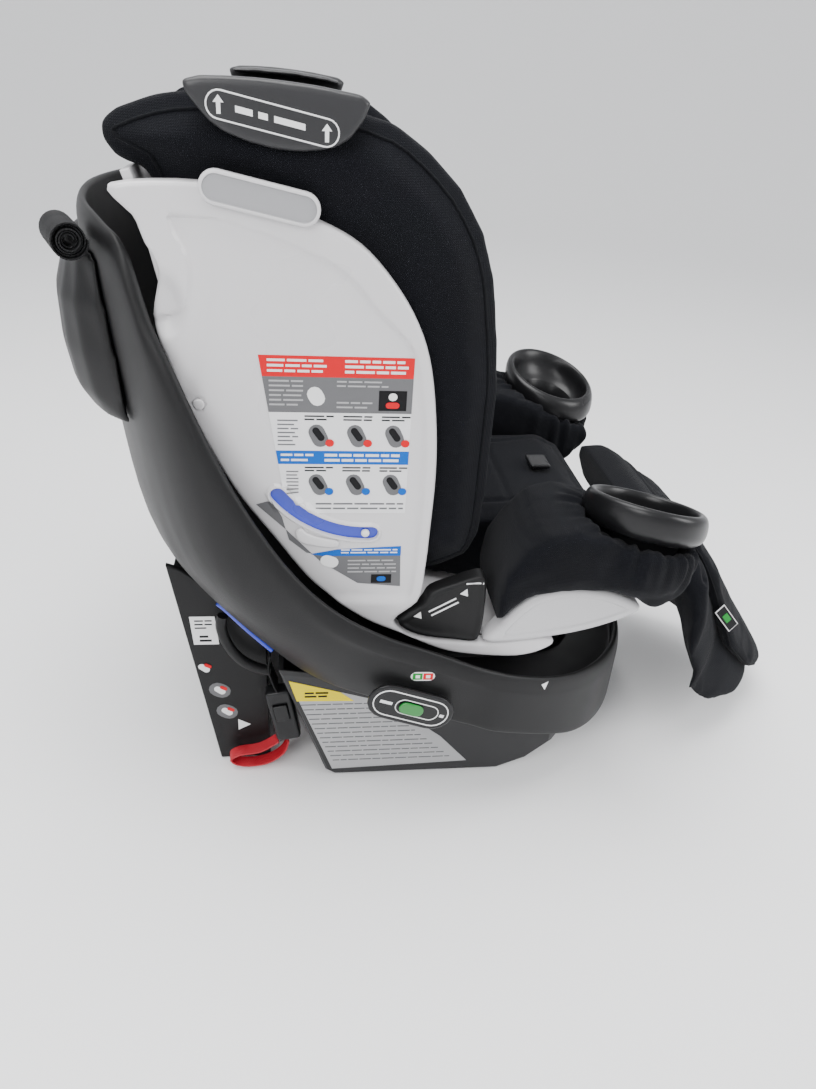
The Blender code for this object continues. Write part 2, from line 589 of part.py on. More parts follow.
def shell_parts(seat):
    plate("seat_shell", thick_line(smooth(SHELL_LINE, 2, closed=False), SHELL_WALL), -SHELL_HALF_WIDTH,
          SHELL_HALF_WIDTH, "shell_white", seat, edge=0.0008)
    inner = SEAT_HALF_WIDTH - PANEL_THICKNESS
    side_plates("side_panel", smooth(PANEL_OUTLINE, 2), inner, SEAT_HALF_WIDTH, "shell_white", seat, 0.001)
    side_plates("belt_guide", smooth(GUIDE_OUTLINE, 2), inner, SEAT_HALF_WIDTH + 0.003, "matte_black", seat)
    side_plates("front_pod", smooth(POD_OUTLINE, 2), inner, SEAT_HALF_WIDTH + 0.007, "shell_white", seat, 0.001)
    shoe = [recline_arc(RAIL_RADIUS - GAP, 0.085 * (2 * i / 10 - 1)) for i in range(11)]
    top = [(AXIS_Y + 0.085, 0.1925), (AXIS_Y + 0.05, 0.196), (AXIS_Y, 0.197), (AXIS_Y - 0.085, 0.2030)]
    side_plates("recline_shoe", shoe + top, 0.068, 0.088, "satin_black", seat, edge=0.0004)
    tilt = math.radians(11)
    for side, sign in SIDES:
        badge = curve_plate(capsule(0.083, 0.023), 0.005, 0.001, 0)
        tilted(badge, (sign * (SEAT_HALF_WIDTH + 0.0030), 0.090, 0.589), tilt)
        finish(badge, f"badge_{side}", "badge_grey", seat)
    level_indicators(seat)


LEVEL_CENTRE = (0.0097, 0.4166)
LEVEL_RADIUS = 0.092


def level_indicators(seat):
    """A curved window low on each side panel, with a ball that hangs level inside its arc."""
    arc = [(LEVEL_CENTRE[0] + LEVEL_RADIUS * math.sin(a), LEVEL_CENTRE[1] - LEVEL_RADIUS * math.cos(a))
           for a in (math.radians(-4 + 60 * i / 12) for i in range(13))]
    band = thick_line(offset_line(arc, -0.0055), 0.011)
    for side, sign in SIDES:
        face = SEAT_HALF_WIDTH + 0.0003
        plate(f"level_window_{side}", band, sign * face, sign * (face + 0.0012), "signal_blue", seat, edge=0.0003)
        x = sign * (face + 0.0016)
        low = (LEVEL_CENTRE[0], LEVEL_CENTRE[1] - LEVEL_RADIUS)
        pin(f"level_ball_{side}", 0.0035, (x, *low), (x + sign * 0.0012, *low), "shell_white",
            axes["level_ball_" + side], steps=16)


def handle_parts():
    """A lift handle over the top edge of each side, which frees the turntable."""
    grip = [(0.137, 0.6565), (0.128, 0.641), (0.112, 0.628), (0.080, 0.6195), (0.050, 0.620), (0.030, 0.628),
            (0.017, 0.6500), (0.035, 0.6555), (0.070, 0.6590), (0.110, 0.6600)]
    cap = [(0.131, 0.6546), (0.110, 0.6550), (0.070, 0.6540), (0.036, 0.6508), (0.024, 0.6484), (0.024, 0.6512),
           (0.036, 0.6543), (0.070, 0.6578), (0.110, 0.6588), (0.131, 0.6575)]
    for side, sign in SIDES:
        body = axes["rotate_handle_" + side]
        flank = as_mesh(plate(f"rotate_handle_{side}", smooth(grip, 2), sign * (WING_OUTER + 0.003),
                              sign * (SEAT_HALF_WIDTH + 0.006), "handle_grey", body, 0.002))
        top = plate("cap_" + side, cap, sign * 0.152, sign * (SEAT_HALF_WIDTH + 0.003), "handle_grey", None, 0.001)
        combine(flank, as_cutter(top), "UNION")


def lean_rim(obj, sign):
    """Lean the rim of an upright cup in and forwards, and less and less towards the cup's bottom."""
    inward, forward = math.tan(math.radians(CUP_TILT_IN)), math.tan(math.radians(CUP_TILT_FORWARD))
    for vertex in obj.data.vertices:
        share = min(max(1 + (vertex.co.z + 0.015) / (CUP_DEPTH - 0.015), 0.0), 1.0)
        vertex.co.z += share * (sign * inward * vertex.co.x + forward * vertex.co.y)
    return obj


def cup_parts():
    r, body, depth = CUP_RIM_RADIUS, CUP_BODY_RADIUS, CUP_DEPTH
    drop = CUP_RIM_DROP
    profile = [(r - 0.008, 0.0135), (r - 0.003, 0.0115), (r, 0.004), (r, 0.010 - drop), (r - 0.004, 0.003 - drop),
               (r - 0.010, -drop), (body, -drop - 0.001), (body - 0.004, -depth), (0.0, -depth)]
    inside = [(0.0, -depth + 0.003), (body - 0.007, -depth + 0.003), (body - 0.003, -0.010), (body + 0.003, 0.002),
              (body + 0.0075, 0.011)]
    for side, sign in SIDES:
        place = (sign * CUP_SPACING / 2, CUP_CENTRE_Y, CUP_CENTRE_Z)
        cup = turned(f"cup_holder_{side}", inside + profile, place, "satin_black", axes["cup_holder_" + side], 28,
                     closed=False)
        lean_rim(as_mesh(cup), sign)


def soft_parts(seat):
    """Plain solids for the fabric pieces; the armrests are bored for the cup holders."""
    side_plates("wing_cover", WING_OUTLINE, WING_INNER, WING_OUTER, "fabric_black", seat, 0.005)
    plate("back_cushion", BACK_OUTLINE, -BACK_HALF_WIDTH, BACK_HALF_WIDTH, "fabric_black", seat, 0.004)
    plate("seat_cushion", CUSHION_OUTLINE, -CUSHION_HALF_WIDTH, CUSHION_HALF_WIDTH, "fabric_black", seat, 0.004)
    rim, body = CUP_RIM_RADIUS + 0.0015, CUP_BODY_RADIUS + CUP_BORE_GAP
    profile = [(0.0, 0.080), (rim, 0.080), (rim, -CUP_RIM_DROP - 0.0025), (body, -CUP_RIM_DROP - 0.0025),
               (body, -CUP_DEPTH - 0.003), (0.0, -CUP_DEPTH - 0.003)]
    for side, sign in SIDES:
        pad = as_mesh(plate(f"armrest_{side}", ARMREST_OUTLINE, sign * ARMREST_INNER,
                            sign * ARMREST_OUTER, "fabric_black", seat, 0.007, 1))
        place = (sign * CUP_SPACING / 2, CUP_CENTRE_Y, CUP_CENTRE_Z)
        cutter = turned("cup_bore_" + side, profile, place, "steel", None, 28, closed=False)
        combine(pad, lean_rim(as_cutter(cutter), sign), "DIFFERENCE")
    calf_flap(seat)


FLAP_LINE = [(-0.272, 0.272, 0.104, 0.030), (-0.291, 0.270, 0.105, 0.044), (-0.320, 0.250, 0.108, 0.046),
             (-0.357, 0.209, 0.140, 0.042), (-0.398, 0.157, 0.150, 0.036), (-0.434, 0.110, 0.146, 0.032),
             (-0.464, 0.074, 0.132, 0.030), (-0.486, 0.050, 0.104, 0.026), (-0.500, 0.036, 0.060, 0.016)]
FLAP_BOW = 0.080              # how far the flap's lower corners wrap back towards the base


def calf_flap(seat):
    """The pad that hangs over the front edge: middle line (y, z), half width and thickness."""
    line = [(y, z) for y, z, w, t in FLAP_LINE]
    sections = []
    for i, (y, z, half, thick) in enumerate(FLAP_LINE):
        a, b = line[max(i - 1, 0)], line[min(i + 1, len(line) - 1)]
        d = Vector((b[0] - a[0], b[1] - a[1])).normalized()
        normal = Vector((-d.y, d.x))
        if normal.y < 0:
            normal = -normal
        ring = []
        hang = min(max((0.220 - z) / 0.110, 0.0), 1.0)
        for k in range(32):
            t = 2 * math.pi * k / 32
            c, s = math.cos(t), math.sin(t)
            across = half * ARMREST_INNER / 0.110 * math.copysign(abs(c) ** 0.5, c)
            rise = thick / 2 * math.copysign(abs(s) ** 0.6, s)
            bow = FLAP_BOW * hang * (across / 0.150) ** 2
            ring.append((across, y + normal.x * rise + bow, z + normal.y * rise - 0.25 * bow))
        sections.append(ring)
    loft("calf_flap", sections, "fabric_black", seat, around=False)


def headrest_parts():
    head = axes["headrest"]
    shell = [back_face(0.445, 0.003), back_face(0.600, 0.003), back_face(0.606, 0.0045), back_face(0.606, 0.0075),
             back_face(0.600, 0.009), back_face(0.445, 0.009)]
    plate("headrest_shell", shell, -0.105, 0.105, "satin_black", head, edge=0.0008)
    pad = [back_face(0.440, 0.012), back_face(0.600, 0.012), back_face(0.613, 0.020), back_face(0.608, 0.036),
           back_face(0.580, 0.050), back_face(0.470, 0.050), back_face(0.440, 0.042), back_face(0.432, 0.026)]
    centre = as_mesh(plate("headrest_pad", pad, -0.106, 0.106, "fabric_black", head, 0.004))
    for side, sign in SIDES:
        bolster = [back_face(0.450, 0.013), back_face(0.590, 0.013), back_face(0.604, 0.040), back_face(0.590, 0.080),
                   back_face(0.540, 0.095), back_face(0.480, 0.085), back_face(0.447, 0.050)]
        wing = plate("bolster_" + side, bolster, sign * 0.098, sign * 0.138, "fabric_black", None, 0.004)
        combine(centre, as_cutter(wing), "UNION")
    y, z = back_face(0.6135, 0.0065)
    block("headrest_handle", (0.070, 0.009, 0.010), (0, y, z + 0.0005), "satin_black", axes["headrest_handle"],
          edge=0.002, rotation=(-math.atan(BACK_LEAN), 0, 0))


def harness_parts(seat):
    for side, sign in SIDES:
        x = sign * 0.052
        line = [(x, *back_face(0.4270, 0.0040)), (x, *back_face(0.385, 0.0040)), (x, 0.0150, 0.333),
                (x, -0.0140, 0.3050), (x, -0.042, 0.2890), (x, -0.066, 0.2885)]
        ribbon(f"shoulder_strap_{side}", line, (1, 0, 0), STRAP_WIDTH, STRAP_THICKNESS, "webbing_black", seat)
        hip = [(sign * 0.116, -0.030, 0.2835), (sign * 0.095, -0.052, 0.2855), (sign * 0.0725, -0.070, 0.2880)]
        ribbon(f"hip_strap_{side}", hip, (0.5 * sign, 1, 0), 0.030, STRAP_THICKNESS, "webbing_black", seat)
    block("chest_clip", (0.125, 0.012, 0.030), (0, *back_face(0.400, 0.0135)), "satin_black", axes["chest_clip"],
          edge=0.003, rotation=(-math.atan(BACK_LEAN), 0, 0), segments=2)
    buckle = as_mesh(block("buckle", (0.056, 0.048, 0.020), (0, -0.094, 0.3015), "satin_black", seat, edge=0.004,
                           segments=2))
    pocket = block("buckle_pocket", (0.0272, 0.0212, 0.012), (0, -0.098, 0.3120), "satin_black", None, edge=0)
    combine(buckle, as_cutter(pocket), "DIFFERENCE")
    block("buckle_button", (0.026, 0.020, 0.006), (0, -0.098, 0.3120), "signal_red", axes["buckle_button"],
          edge=0.001)
    block("adjuster_button", (0.030, 0.022, 0.005), (0, -0.196, 0.3005), "satin_black", axes["adjuster_button"],
          edge=0.0012)
    block("recline_pull", (0.110, 0.026, 0.010), (0, -0.243, 0.2160), "satin_black", axes["recline_pull"],
          edge=0.003, segments=2)


# ---------------------------------------------------------------- build
def main():
    axes["turntable"] = body_empty("turntable", (0, AXIS_Y, TURNTABLE_BOTTOM))
    axes["seat"] = body_empty("seat", (0, AXIS_Y, RECLINE_CENTRE_Z), axes["turntable"])
    seat = axes["seat"]
    axes["rotation_latch"] = body_empty("rotation_latch", (0, AXIS_Y - LATCH_OFFSET, TURNTABLE_BOTTOM),
                                        axes["turntable"])
    axes["seat_lock"] = body_empty("seat_lock", (-0.238, -0.036, 0.158))
    axes["seat_lock_bolt"] = body_empty("seat_lock_bolt", (-0.1425, AXIS_Y, 0.126))
    for side, sign in SIDES:
        axes["rotate_handle_" + side] = body_empty("rotate_handle_" + side, (sign * 0.2, 0.077, 0.640), seat)
        axes["cup_holder_" + side] = body_empty("cup_holder_" + side,
                                                (sign * CUP_SPACING / 2, CUP_CENTRE_Y, CUP_CENTRE_Z), seat)
        axes["level_ball_" + side] = body_empty("level_ball_" + side, (sign * 0.201, *LEVEL_CENTRE), seat)
        axes["anchor_button_" + side] = body_empty("anchor_button_" + side, (sign * 0.157, 0.086, 0.084))
    axes["headrest"] = body_empty("headrest", (0, *back_face(0.5, 0.01)), seat)
    axes["headrest_handle"] = body_empty("headrest_handle", (0, *back_face(0.614, 0.0065)), axes["headrest"])
    axes["chest_clip"] = body_empty("chest_clip", (0, *back_face(0.4, 0.01)), seat)
    axes["buckle_button"] = body_empty("buckle_button", (0, -0.098, 0.314), seat)
    axes["adjuster_button"] = body_empty("adjuster_button", (0, -0.196, 0.300), seat)
    axes["recline_pull"] = body_empty("recline_pull", (0, -0.243, 0.216), seat)
    base_parts()
    turntable_parts()
    shell_parts(seat)
    handle_parts()
    cup_parts()
    soft_parts(seat)
    headrest_parts()
    harness_parts(seat)


clear_scene()
parts = new_collection(COLLECTION)
cutters = new_collection("cutters")
surfaces = {name: make_material(name) for name in MATERIALS}
axes = {}
main()
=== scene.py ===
# %% [markdown]
# # A convertible car seat on a turning base
# The seat is a light shell with knitted covers. It sits in a black carrier bowl that sweeps up behind it,
# and the bowl stands on a grey tub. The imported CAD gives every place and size. This file gives the pieces
# their real surfaces: rounded mouldings, padded knit, webbing and printed labels without any words.

# %% The frame
import json
import math

import bmesh
import bpy
import numpy as np
from mathutils import Matrix, Vector
from mathutils.bvhtree import BVHTree
from mathutils.geometry import delaunay_2d_cdt

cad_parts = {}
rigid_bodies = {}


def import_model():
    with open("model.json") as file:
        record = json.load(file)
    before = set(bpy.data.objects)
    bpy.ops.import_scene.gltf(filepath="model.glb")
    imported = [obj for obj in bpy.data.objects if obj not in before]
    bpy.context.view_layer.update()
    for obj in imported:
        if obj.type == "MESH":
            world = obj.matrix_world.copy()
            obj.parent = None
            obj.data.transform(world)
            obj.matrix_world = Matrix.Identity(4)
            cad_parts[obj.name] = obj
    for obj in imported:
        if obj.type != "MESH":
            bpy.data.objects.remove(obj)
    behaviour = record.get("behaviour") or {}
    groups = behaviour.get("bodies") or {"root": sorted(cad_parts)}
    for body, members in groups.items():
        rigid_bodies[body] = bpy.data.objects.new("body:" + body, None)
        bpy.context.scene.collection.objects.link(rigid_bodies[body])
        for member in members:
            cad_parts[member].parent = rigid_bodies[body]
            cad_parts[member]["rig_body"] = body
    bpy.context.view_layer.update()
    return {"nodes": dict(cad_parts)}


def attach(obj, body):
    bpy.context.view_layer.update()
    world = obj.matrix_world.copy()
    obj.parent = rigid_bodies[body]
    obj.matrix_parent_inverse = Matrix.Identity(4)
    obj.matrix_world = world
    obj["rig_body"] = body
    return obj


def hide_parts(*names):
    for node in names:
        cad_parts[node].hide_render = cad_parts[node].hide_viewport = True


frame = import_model()
nodes = frame["nodes"]
SIDES = (("right", -1), ("left", 1))

# %% [markdown]
# ## Camera, floor and light
# The seat is seen from its right side and a little from above, with a wide lens close to it, so that the
# near cup holder looks much bigger than the far one. Three large soft lamps over a pale floor show the
# black plastic by its highlights.

# %% Camera
camera = bpy.data.objects.new("camera", bpy.data.cameras.new("camera"))
bpy.context.scene.collection.objects.link(camera)
right_way = Vector((-0.11012, -0.99208, 0.06037)).normalized()
view_way = Vector((0.85091, -0.12549, -0.51011)).normalized()
up_way = right_way.cross(view_way).normalized()
camera.matrix_world = Matrix.Translation((-0.8047, 0.0614, 0.6763)) @ Matrix(
    (right_way, up_way, -view_way)).transposed().to_4x4()
camera.data.lens = 27.04
camera.data.sensor_width = 36.0
camera.data.clip_start = 0.02
bpy.context.scene.camera = camera


# %% Floor and lamps
def lamp(name, place, target, size, power):
    data = bpy.data.lights.new(name, "AREA")
    data.shape = "DISK"
    data.size = size
    data.energy = power
    obj = bpy.data.objects.new(name, data)
    bpy.context.scene.collection.objects.link(obj)
    obj.location = place
    obj.rotation_euler = (Vector(target) - Vector(place)).to_track_quat("-Z", "Y").to_euler()


lamp("top_lamp", (-0.1, 0.3, 2.3), (0.0, -0.1, 0.3), 1.7, 62.0)
lamp("near_lamp", (-1.7, 0.9, 1.5), (0.0, -0.05, 0.3), 1.2, 30.0)
lamp("front_lamp", (-0.8, -1.9, 1.2), (0.0, -0.1, 0.25), 1.1, 26.0)

world = bpy.data.worlds.new("studio")
bpy.context.scene.world = world
world.use_nodes = True
world.node_tree.nodes["Background"].inputs["Color"].default_value = (0.94, 0.95, 0.97, 1.0)
world.node_tree.nodes["Background"].inputs["Strength"].default_value = 1.15


# %% [markdown]
# ## Finishes
# Each finish is one Principled shader fed by a shared node group, so that plastics share their moulded
# grain and fabrics share their knit. The patterns read Object coordinates, which are metres here, so a
# scale of 900 gives grains of about a millimetre. Groups put out only values that change over a surface.

# %% Helpers for node trees
def new_group(name, inputs, outputs):
    tree = bpy.data.node_groups.new(name, "ShaderNodeTree")
    for label, default in inputs:
        socket = tree.interface.new_socket(name=label, in_out="INPUT", socket_type="NodeSocketFloat")
        socket.default_value = default
    for label in outputs:
        tree.interface.new_socket(name=label, in_out="OUTPUT", socket_type="NodeSocketFloat")
    return tree, tree.nodes.new("NodeGroupInput"), tree.nodes.new("NodeGroupOutput")


def math_node(tree, kind, a, b=None):
    node = tree.nodes.new("ShaderNodeMath")
    node.operation = kind
    for socket, value in zip(node.inputs, (a, b)):
        if value is None:
            continue
        if isinstance(value, (int, float)):
            socket.default_value = value
        else:
            tree.links.new(value, socket)
    return node.outputs[0]


def noise_node(tree, scale, detail):
    place = tree.nodes.new("ShaderNodeTexCoord")
    node = tree.nodes.new("ShaderNodeTexNoise")
    node.inputs["Detail"].default_value = detail
    tree.links.new(place.outputs["Object"], node.inputs["Vector"])
    if isinstance(scale, (int, float)):
        node.inputs["Scale"].default_value = scale
    else:
        tree.links.new(scale, node.inputs["Scale"])
    return node.outputs["Fac"]


# %% Moulded grain, shared by every plastic
grain, grain_in, grain_out = new_group("moulded_grain", (("Grain", 900.0), ("Cloud", 9.0)),
                                       ("Height", "Cloud"))
fine = noise_node(grain, grain_in.outputs["Grain"], 1.0)
cloud = noise_node(grain, grain_in.outputs["Cloud"], 3.0)
grain.links.new(fine, grain_out.inputs["Height"])
grain.links.new(cloud, grain_out.inputs["Cloud"])

# %% Knit: rows of loops, turned to suit the way each part of the surface faces
knit, knit_in, knit_out = new_group("knit", (("Pitch", 0.0016), ("Cloud", 14.0)), ("Height", "Cloud"))
spot = knit.nodes.new("ShaderNodeTexCoord")
xyz = knit.nodes.new("ShaderNodeSeparateXYZ")
facing = knit.nodes.new("ShaderNodeSeparateXYZ")
knit.links.new(spot.outputs["Object"], xyz.inputs[0])
knit.links.new(spot.outputs["Normal"], facing.inputs[0])
turns = math_node(knit, "DIVIDE", 2 * math.pi, knit_in.outputs["Pitch"])
waves = [math_node(knit, "MULTIPLY", xyz.outputs[i], turns) for i in range(3)]


def loops(across, along):
    """Rows of loops: each row's wave is pulled sideways by the wave across it."""
    pull = math_node(knit, "MULTIPLY", math_node(knit, "SINE", along), 1.2)
    rows = math_node(knit, "SINE", math_node(knit, "ADD", across, pull))
    stitch = math_node(knit, "MULTIPLY", math_node(knit, "COSINE", along), 0.5)
    return math_node(knit, "ADD", rows, stitch)


height = 0.0
for axis, (a, b) in enumerate(((1, 2), (0, 2), (0, 1))):
    share = math_node(knit, "POWER", math_node(knit, "ABSOLUTE", facing.outputs[axis]), 3.0)
    part = math_node(knit, "MULTIPLY", loops(waves[a], waves[b]), share)
    height = math_node(knit, "ADD", part, height)
knit.links.new(height, knit_out.inputs["Height"])
knit.links.new(noise_node(knit, knit_in.outputs["Cloud"], 4.0), knit_out.inputs["Cloud"])

# %% Webbing: ribs across the strap
weave, weave_in, weave_out = new_group("webbing", (("Rib", 0.0022),), ("Height", "Cloud"))
spot = weave.nodes.new("ShaderNodeTexCoord")
xyz = weave.nodes.new("ShaderNodeSeparateXYZ")
weave.links.new(spot.outputs["Object"], xyz.inputs[0])
turns = math_node(weave, "DIVIDE", 2 * math.pi, weave_in.outputs["Rib"])
run = math_node(weave, "MULTIPLY", math_node(weave, "ADD", xyz.outputs[1], xyz.outputs[2]), turns)
across = math_node(weave, "MULTIPLY", xyz.outputs[0], turns)
ribs = math_node(weave, "MULTIPLY", math_node(weave, "SINE", run), math_node(weave, "COSINE", across))
weave.links.new(ribs, weave_out.inputs["Height"])
weave.links.new(noise_node(weave, 60.0, 3.0), weave_out.inputs["Cloud"])
print("groups", [g.name for g in bpy.data.node_groups])


# %% One finish: a colour that varies a little, a roughness that varies, and a fine bump
def finish(name, colour, roughness, group, depth, distance=0.0004, vary=0.12, rough_vary=0.10, values=None,
           metallic=0.0, coat=0.0, sheen=0.0, sheen_rough=0.5, specular=0.5):
    mat = bpy.data.materials.new(name)
    mat.use_nodes = True
    tree = mat.node_tree
    shader = tree.nodes["Principled BSDF"]
    shader.inputs["Metallic"].default_value = metallic
    shader.inputs["Coat Weight"].default_value = coat
    shader.inputs["Coat Roughness"].default_value = 0.25
    shader.inputs["Sheen Weight"].default_value = sheen
    shader.inputs["Sheen Roughness"].default_value = sheen_rough
    shader.inputs["Specular IOR Level"].default_value = specular
    pattern = tree.nodes.new("ShaderNodeGroup")
    pattern.node_tree = group
    for label, value in (values or {}).items():
        pattern.inputs[label].default_value = value
    mix = tree.nodes.new("ShaderNodeMix")
    mix.data_type = "RGBA"
    mix.inputs["A"].default_value = (*[c * (1 - vary) for c in colour], 1.0)
    mix.inputs["B"].default_value = (*[min(c * (1 + vary), 1.0) for c in colour], 1.0)
    tree.links.new(pattern.outputs["Cloud"], mix.inputs["Factor"])
    tree.links.new(mix.outputs["Result"], shader.inputs["Base Color"])
    spread = tree.nodes.new("ShaderNodeMapRange")
    spread.inputs["To Min"].default_value = max(roughness - rough_vary, 0.05)
    spread.inputs["To Max"].default_value = min(roughness + rough_vary, 1.0)
    tree.links.new(pattern.outputs["Cloud"], spread.inputs["Value"])
    tree.links.new(spread.outputs["Result"], shader.inputs["Roughness"])
    bump = tree.nodes.new("ShaderNodeBump")
    bump.inputs["Strength"].default_value = depth
    bump.inputs["Distance"].default_value = distance
    tree.links.new(pattern.outputs["Height"], bump.inputs["Height"])
    tree.links.new(bump.outputs["Normal"], shader.inputs["Normal"])
    return mat


# %% The seat's finishes
FINE = {"Grain": 1400.0}
shell_white = finish("shell_white", (0.47, 0.465, 0.475), 0.36, grain, 0.10, vary=0.03, values=FINE)
panel_white = finish("panel_white", (0.56, 0.55, 0.56), 0.30, grain, 0.05, vary=0.02, values=FINE)
matte_black = finish("matte_black", (0.0050, 0.0050, 0.0054), 0.46, grain, 0.30, vary=0.10, specular=0.24)
base_grey = finish("base_grey", (0.021, 0.021, 0.022), 0.45, grain, 0.30, vary=0.08, specular=0.30)
satin_black = finish("satin_black", (0.0065, 0.0065, 0.0072), 0.30, grain, 0.10, vary=0.08,
                     values={"Grain": 1600.0}, specular=0.30)
handle_grey = finish("handle_grey", (0.022, 0.022, 0.0235), 0.36, grain, 0.16, vary=0.06, specular=0.32)
badge_grey = finish("badge_grey", (0.285, 0.285, 0.295), 0.36, grain, 0.10, vary=0.03)
steel = finish("steel", (0.56, 0.57, 0.58), 0.28, grain, 0.10, vary=0.05, metallic=1.0)
knit_black = finish("knit_black", (0.0040, 0.0044, 0.0062), 0.90, knit, 0.60, distance=0.0005, vary=0.30,
                    sheen=0.035, sheen_rough=0.35, specular=0.12)
knit_plain = finish("knit_plain", (0.0034, 0.0037, 0.0049), 0.90, knit, 0.35, distance=0.0004, vary=0.20,
                    sheen=0.03, sheen_rough=0.35, specular=0.12, values={"Pitch": 0.0011})
webbing_black = finish("webbing_black", (0.0062, 0.0062, 0.0068), 0.62, weave, 0.6, distance=0.0005,
                       specular=0.2)
webbing_red = finish("webbing_red", (0.42, 0.004, 0.016), 0.55, weave, 0.6, distance=0.0005, vary=0.15)
signal_blue = finish("signal_blue", (0.002, 0.022, 0.42), 0.30, grain, 0.05, vary=0.10, coat=0.4)
signal_green = finish("signal_green", (0.004, 0.17, 0.018), 0.32, grain, 0.05, vary=0.2, coat=0.3)
signal_red = finish("signal_red", (0.60, 0.018, 0.022), 0.36, grain, 0.05, vary=0.1)
PAPER = {"paper_white": (0.68, 0.68, 0.69), "paper_grey": (0.120, 0.120, 0.125),
         "paper_red": (0.56, 0.004, 0.012), "paper_blue": (0.002, 0.090, 0.42),
         "paper_yellow": (0.70, 0.56, 0.004), "paper_ink": (0.006, 0.006, 0.007),
         "paper_pale": (0.34, 0.34, 0.345), "paper_mark": (0.72, 0.72, 0.72),
         "paper_green": (0.008, 0.22, 0.03)}
papers = {name: finish(name, colour, 0.50, grain, 0.06, vary=0.02, rough_vary=0.05, specular=0.15)
          for name, colour in PAPER.items()}
floor_white = finish("floor_white", (0.86, 0.86, 0.865), 0.7, grain, 0.0, vary=0.005)
print("materials", len(bpy.data.materials))

# %% The floor, which curves up into a wall far behind so that no horizon shows
def circle(centre, radius, steps):
    """Points round a circle, in order."""
    return [(centre[0] + radius * math.cos(t), centre[1] + radius * math.sin(t))
            for t in (2 * math.pi * k / steps for k in range(steps))]


FLOOR_FLAT, FLOOR_CURVE, FLOOR_HIGH, FLOOR_SPOKES = 3.2, 2.6, 3.4, 72
FLOOR_Z, CURVE_STEPS = -0.0004, 12
sweep_line = [(0.0, FLOOR_Z), (FLOOR_FLAT, FLOOR_Z)]
sweep_line += [(FLOOR_FLAT + FLOOR_CURVE * math.sin(t), FLOOR_CURVE * (1 - math.cos(t)) + FLOOR_Z)
               for t in (math.pi / 2 * k / CURVE_STEPS for k in range(1, CURVE_STEPS + 1))]
sweep_line.append((FLOOR_FLAT + FLOOR_CURVE, FLOOR_HIGH))
floor_points, floor_faces = [(0.0, 0.0, FLOOR_Z)], []
for r, z in sweep_line[1:]:
    floor_points += [(x, y, z) for x, y in circle((0.0, 0.0), r, FLOOR_SPOKES)]
for k in range(FLOOR_SPOKES):
    after = (k + 1) % FLOOR_SPOKES
    floor_faces.append((0, 1 + k, 1 + after))
    floor_faces += [(1 + row * FLOOR_SPOKES + k, 1 + (row + 1) * FLOOR_SPOKES + k,
                     1 + (row + 1) * FLOOR_SPOKES + after, 1 + row * FLOOR_SPOKES + after)
                    for row in range(len(sweep_line) - 2)]
floor_mesh = bpy.data.meshes.new("floor")
floor_mesh.from_pydata(floor_points, [], floor_faces)
floor_mesh.polygons.foreach_set("use_smooth", np.ones(len(floor_faces), bool))
floor = bpy.data.objects.new("floor", floor_mesh)
floor.data.materials.append(floor_white)
bpy.context.scene.collection.objects.link(floor)


# %% [markdown]
# ## Ways of making a piece
# Four helpers make almost everything. A carried piece is the CAD node's own shape with small rounded
# edges. A moulded piece is remeshed in small cells and relaxed, which rounds it as a thick moulding is.
# A relief plate is a flat outline whose face stands at any height, for panels with steps and scoops.
# A laid patch is a thin film that follows the surface below it, for labels.

# %% Making and placing a mesh
def add_object(name, mesh, materials):
    obj = bpy.data.objects.new(name, mesh)
    bpy.context.scene.collection.objects.link(obj)
    mesh.materials.clear()
    for mat in materials if isinstance(materials, (list, tuple)) else [materials]:
        mesh.materials.append(mat)
    return obj


def mesh_from(name, vertices, faces):
    mesh = bpy.data.meshes.new(name)
    mesh.from_pydata([tuple(v) for v in vertices], [], [tuple(f) for f in faces])
    mesh.update()
    return mesh


def applied(obj):
    """The object's mesh with its modifiers worked in, and the modifiers gone."""
    mesh = bpy.data.meshes.new_from_object(obj.evaluated_get(bpy.context.evaluated_depsgraph_get()))
    obj.modifiers.clear()
    old, obj.data = obj.data, mesh
    bpy.data.meshes.remove(old)
    return obj


def smooth_shading(obj, angle):
    obj.data.polygons.foreach_set("use_smooth", np.ones(len(obj.data.polygons), bool))
    bm = bmesh.new()
    bm.from_mesh(obj.data)
    for edge in bm.edges:
        edge.smooth = len(edge.link_faces) == 2 and edge.calc_face_angle(0.0) < math.radians(angle)
    bm.to_mesh(obj.data)
    bm.free()
    return obj


def merged_copy(node, name, material, flat=0.6):
    """A copy of a CAD node's mesh with its corners joined and its flat triangles made one face."""
    bm = bmesh.new()
    bm.from_mesh(nodes[node].data)
    bmesh.ops.remove_doubles(bm, verts=bm.verts, dist=0.00002)
    if flat:
        bmesh.ops.dissolve_limit(bm, angle_limit=math.radians(flat), verts=bm.verts, edges=bm.edges)
    mesh = bpy.data.meshes.new(name)
    bm.to_mesh(mesh)
    bm.free()
    return add_object(name, mesh, material)


def own(obj, node):
    """The piece stands for this node and rides on its body."""
    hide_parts(node)
    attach(obj, nodes[node]["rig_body"])
    return obj


# %% A carried piece
def carried(node, material, edge=0.0006, segments=2):
    obj = merged_copy(node, node + "_finished", material)
    if edge:
        bevel = obj.modifiers.new("edge", "BEVEL")
        bevel.width = edge
        bevel.segments = segments
        bevel.limit_method = "ANGLE"
        bevel.angle_limit = math.radians(32)
        bevel.use_clamp_overlap = True
        applied(obj)
    return smooth_shading(obj, 34.0)


# %% A moulded piece
def remeshed(obj, cell):
    step = obj.modifiers.new("cells", "REMESH")
    step.mode = "VOXEL"
    step.voxel_size = cell
    return applied(obj)


def subdivided(obj):
    step = obj.modifiers.new("fine", "SUBSURF")
    step.levels = step.render_levels = 1
    return applied(obj)


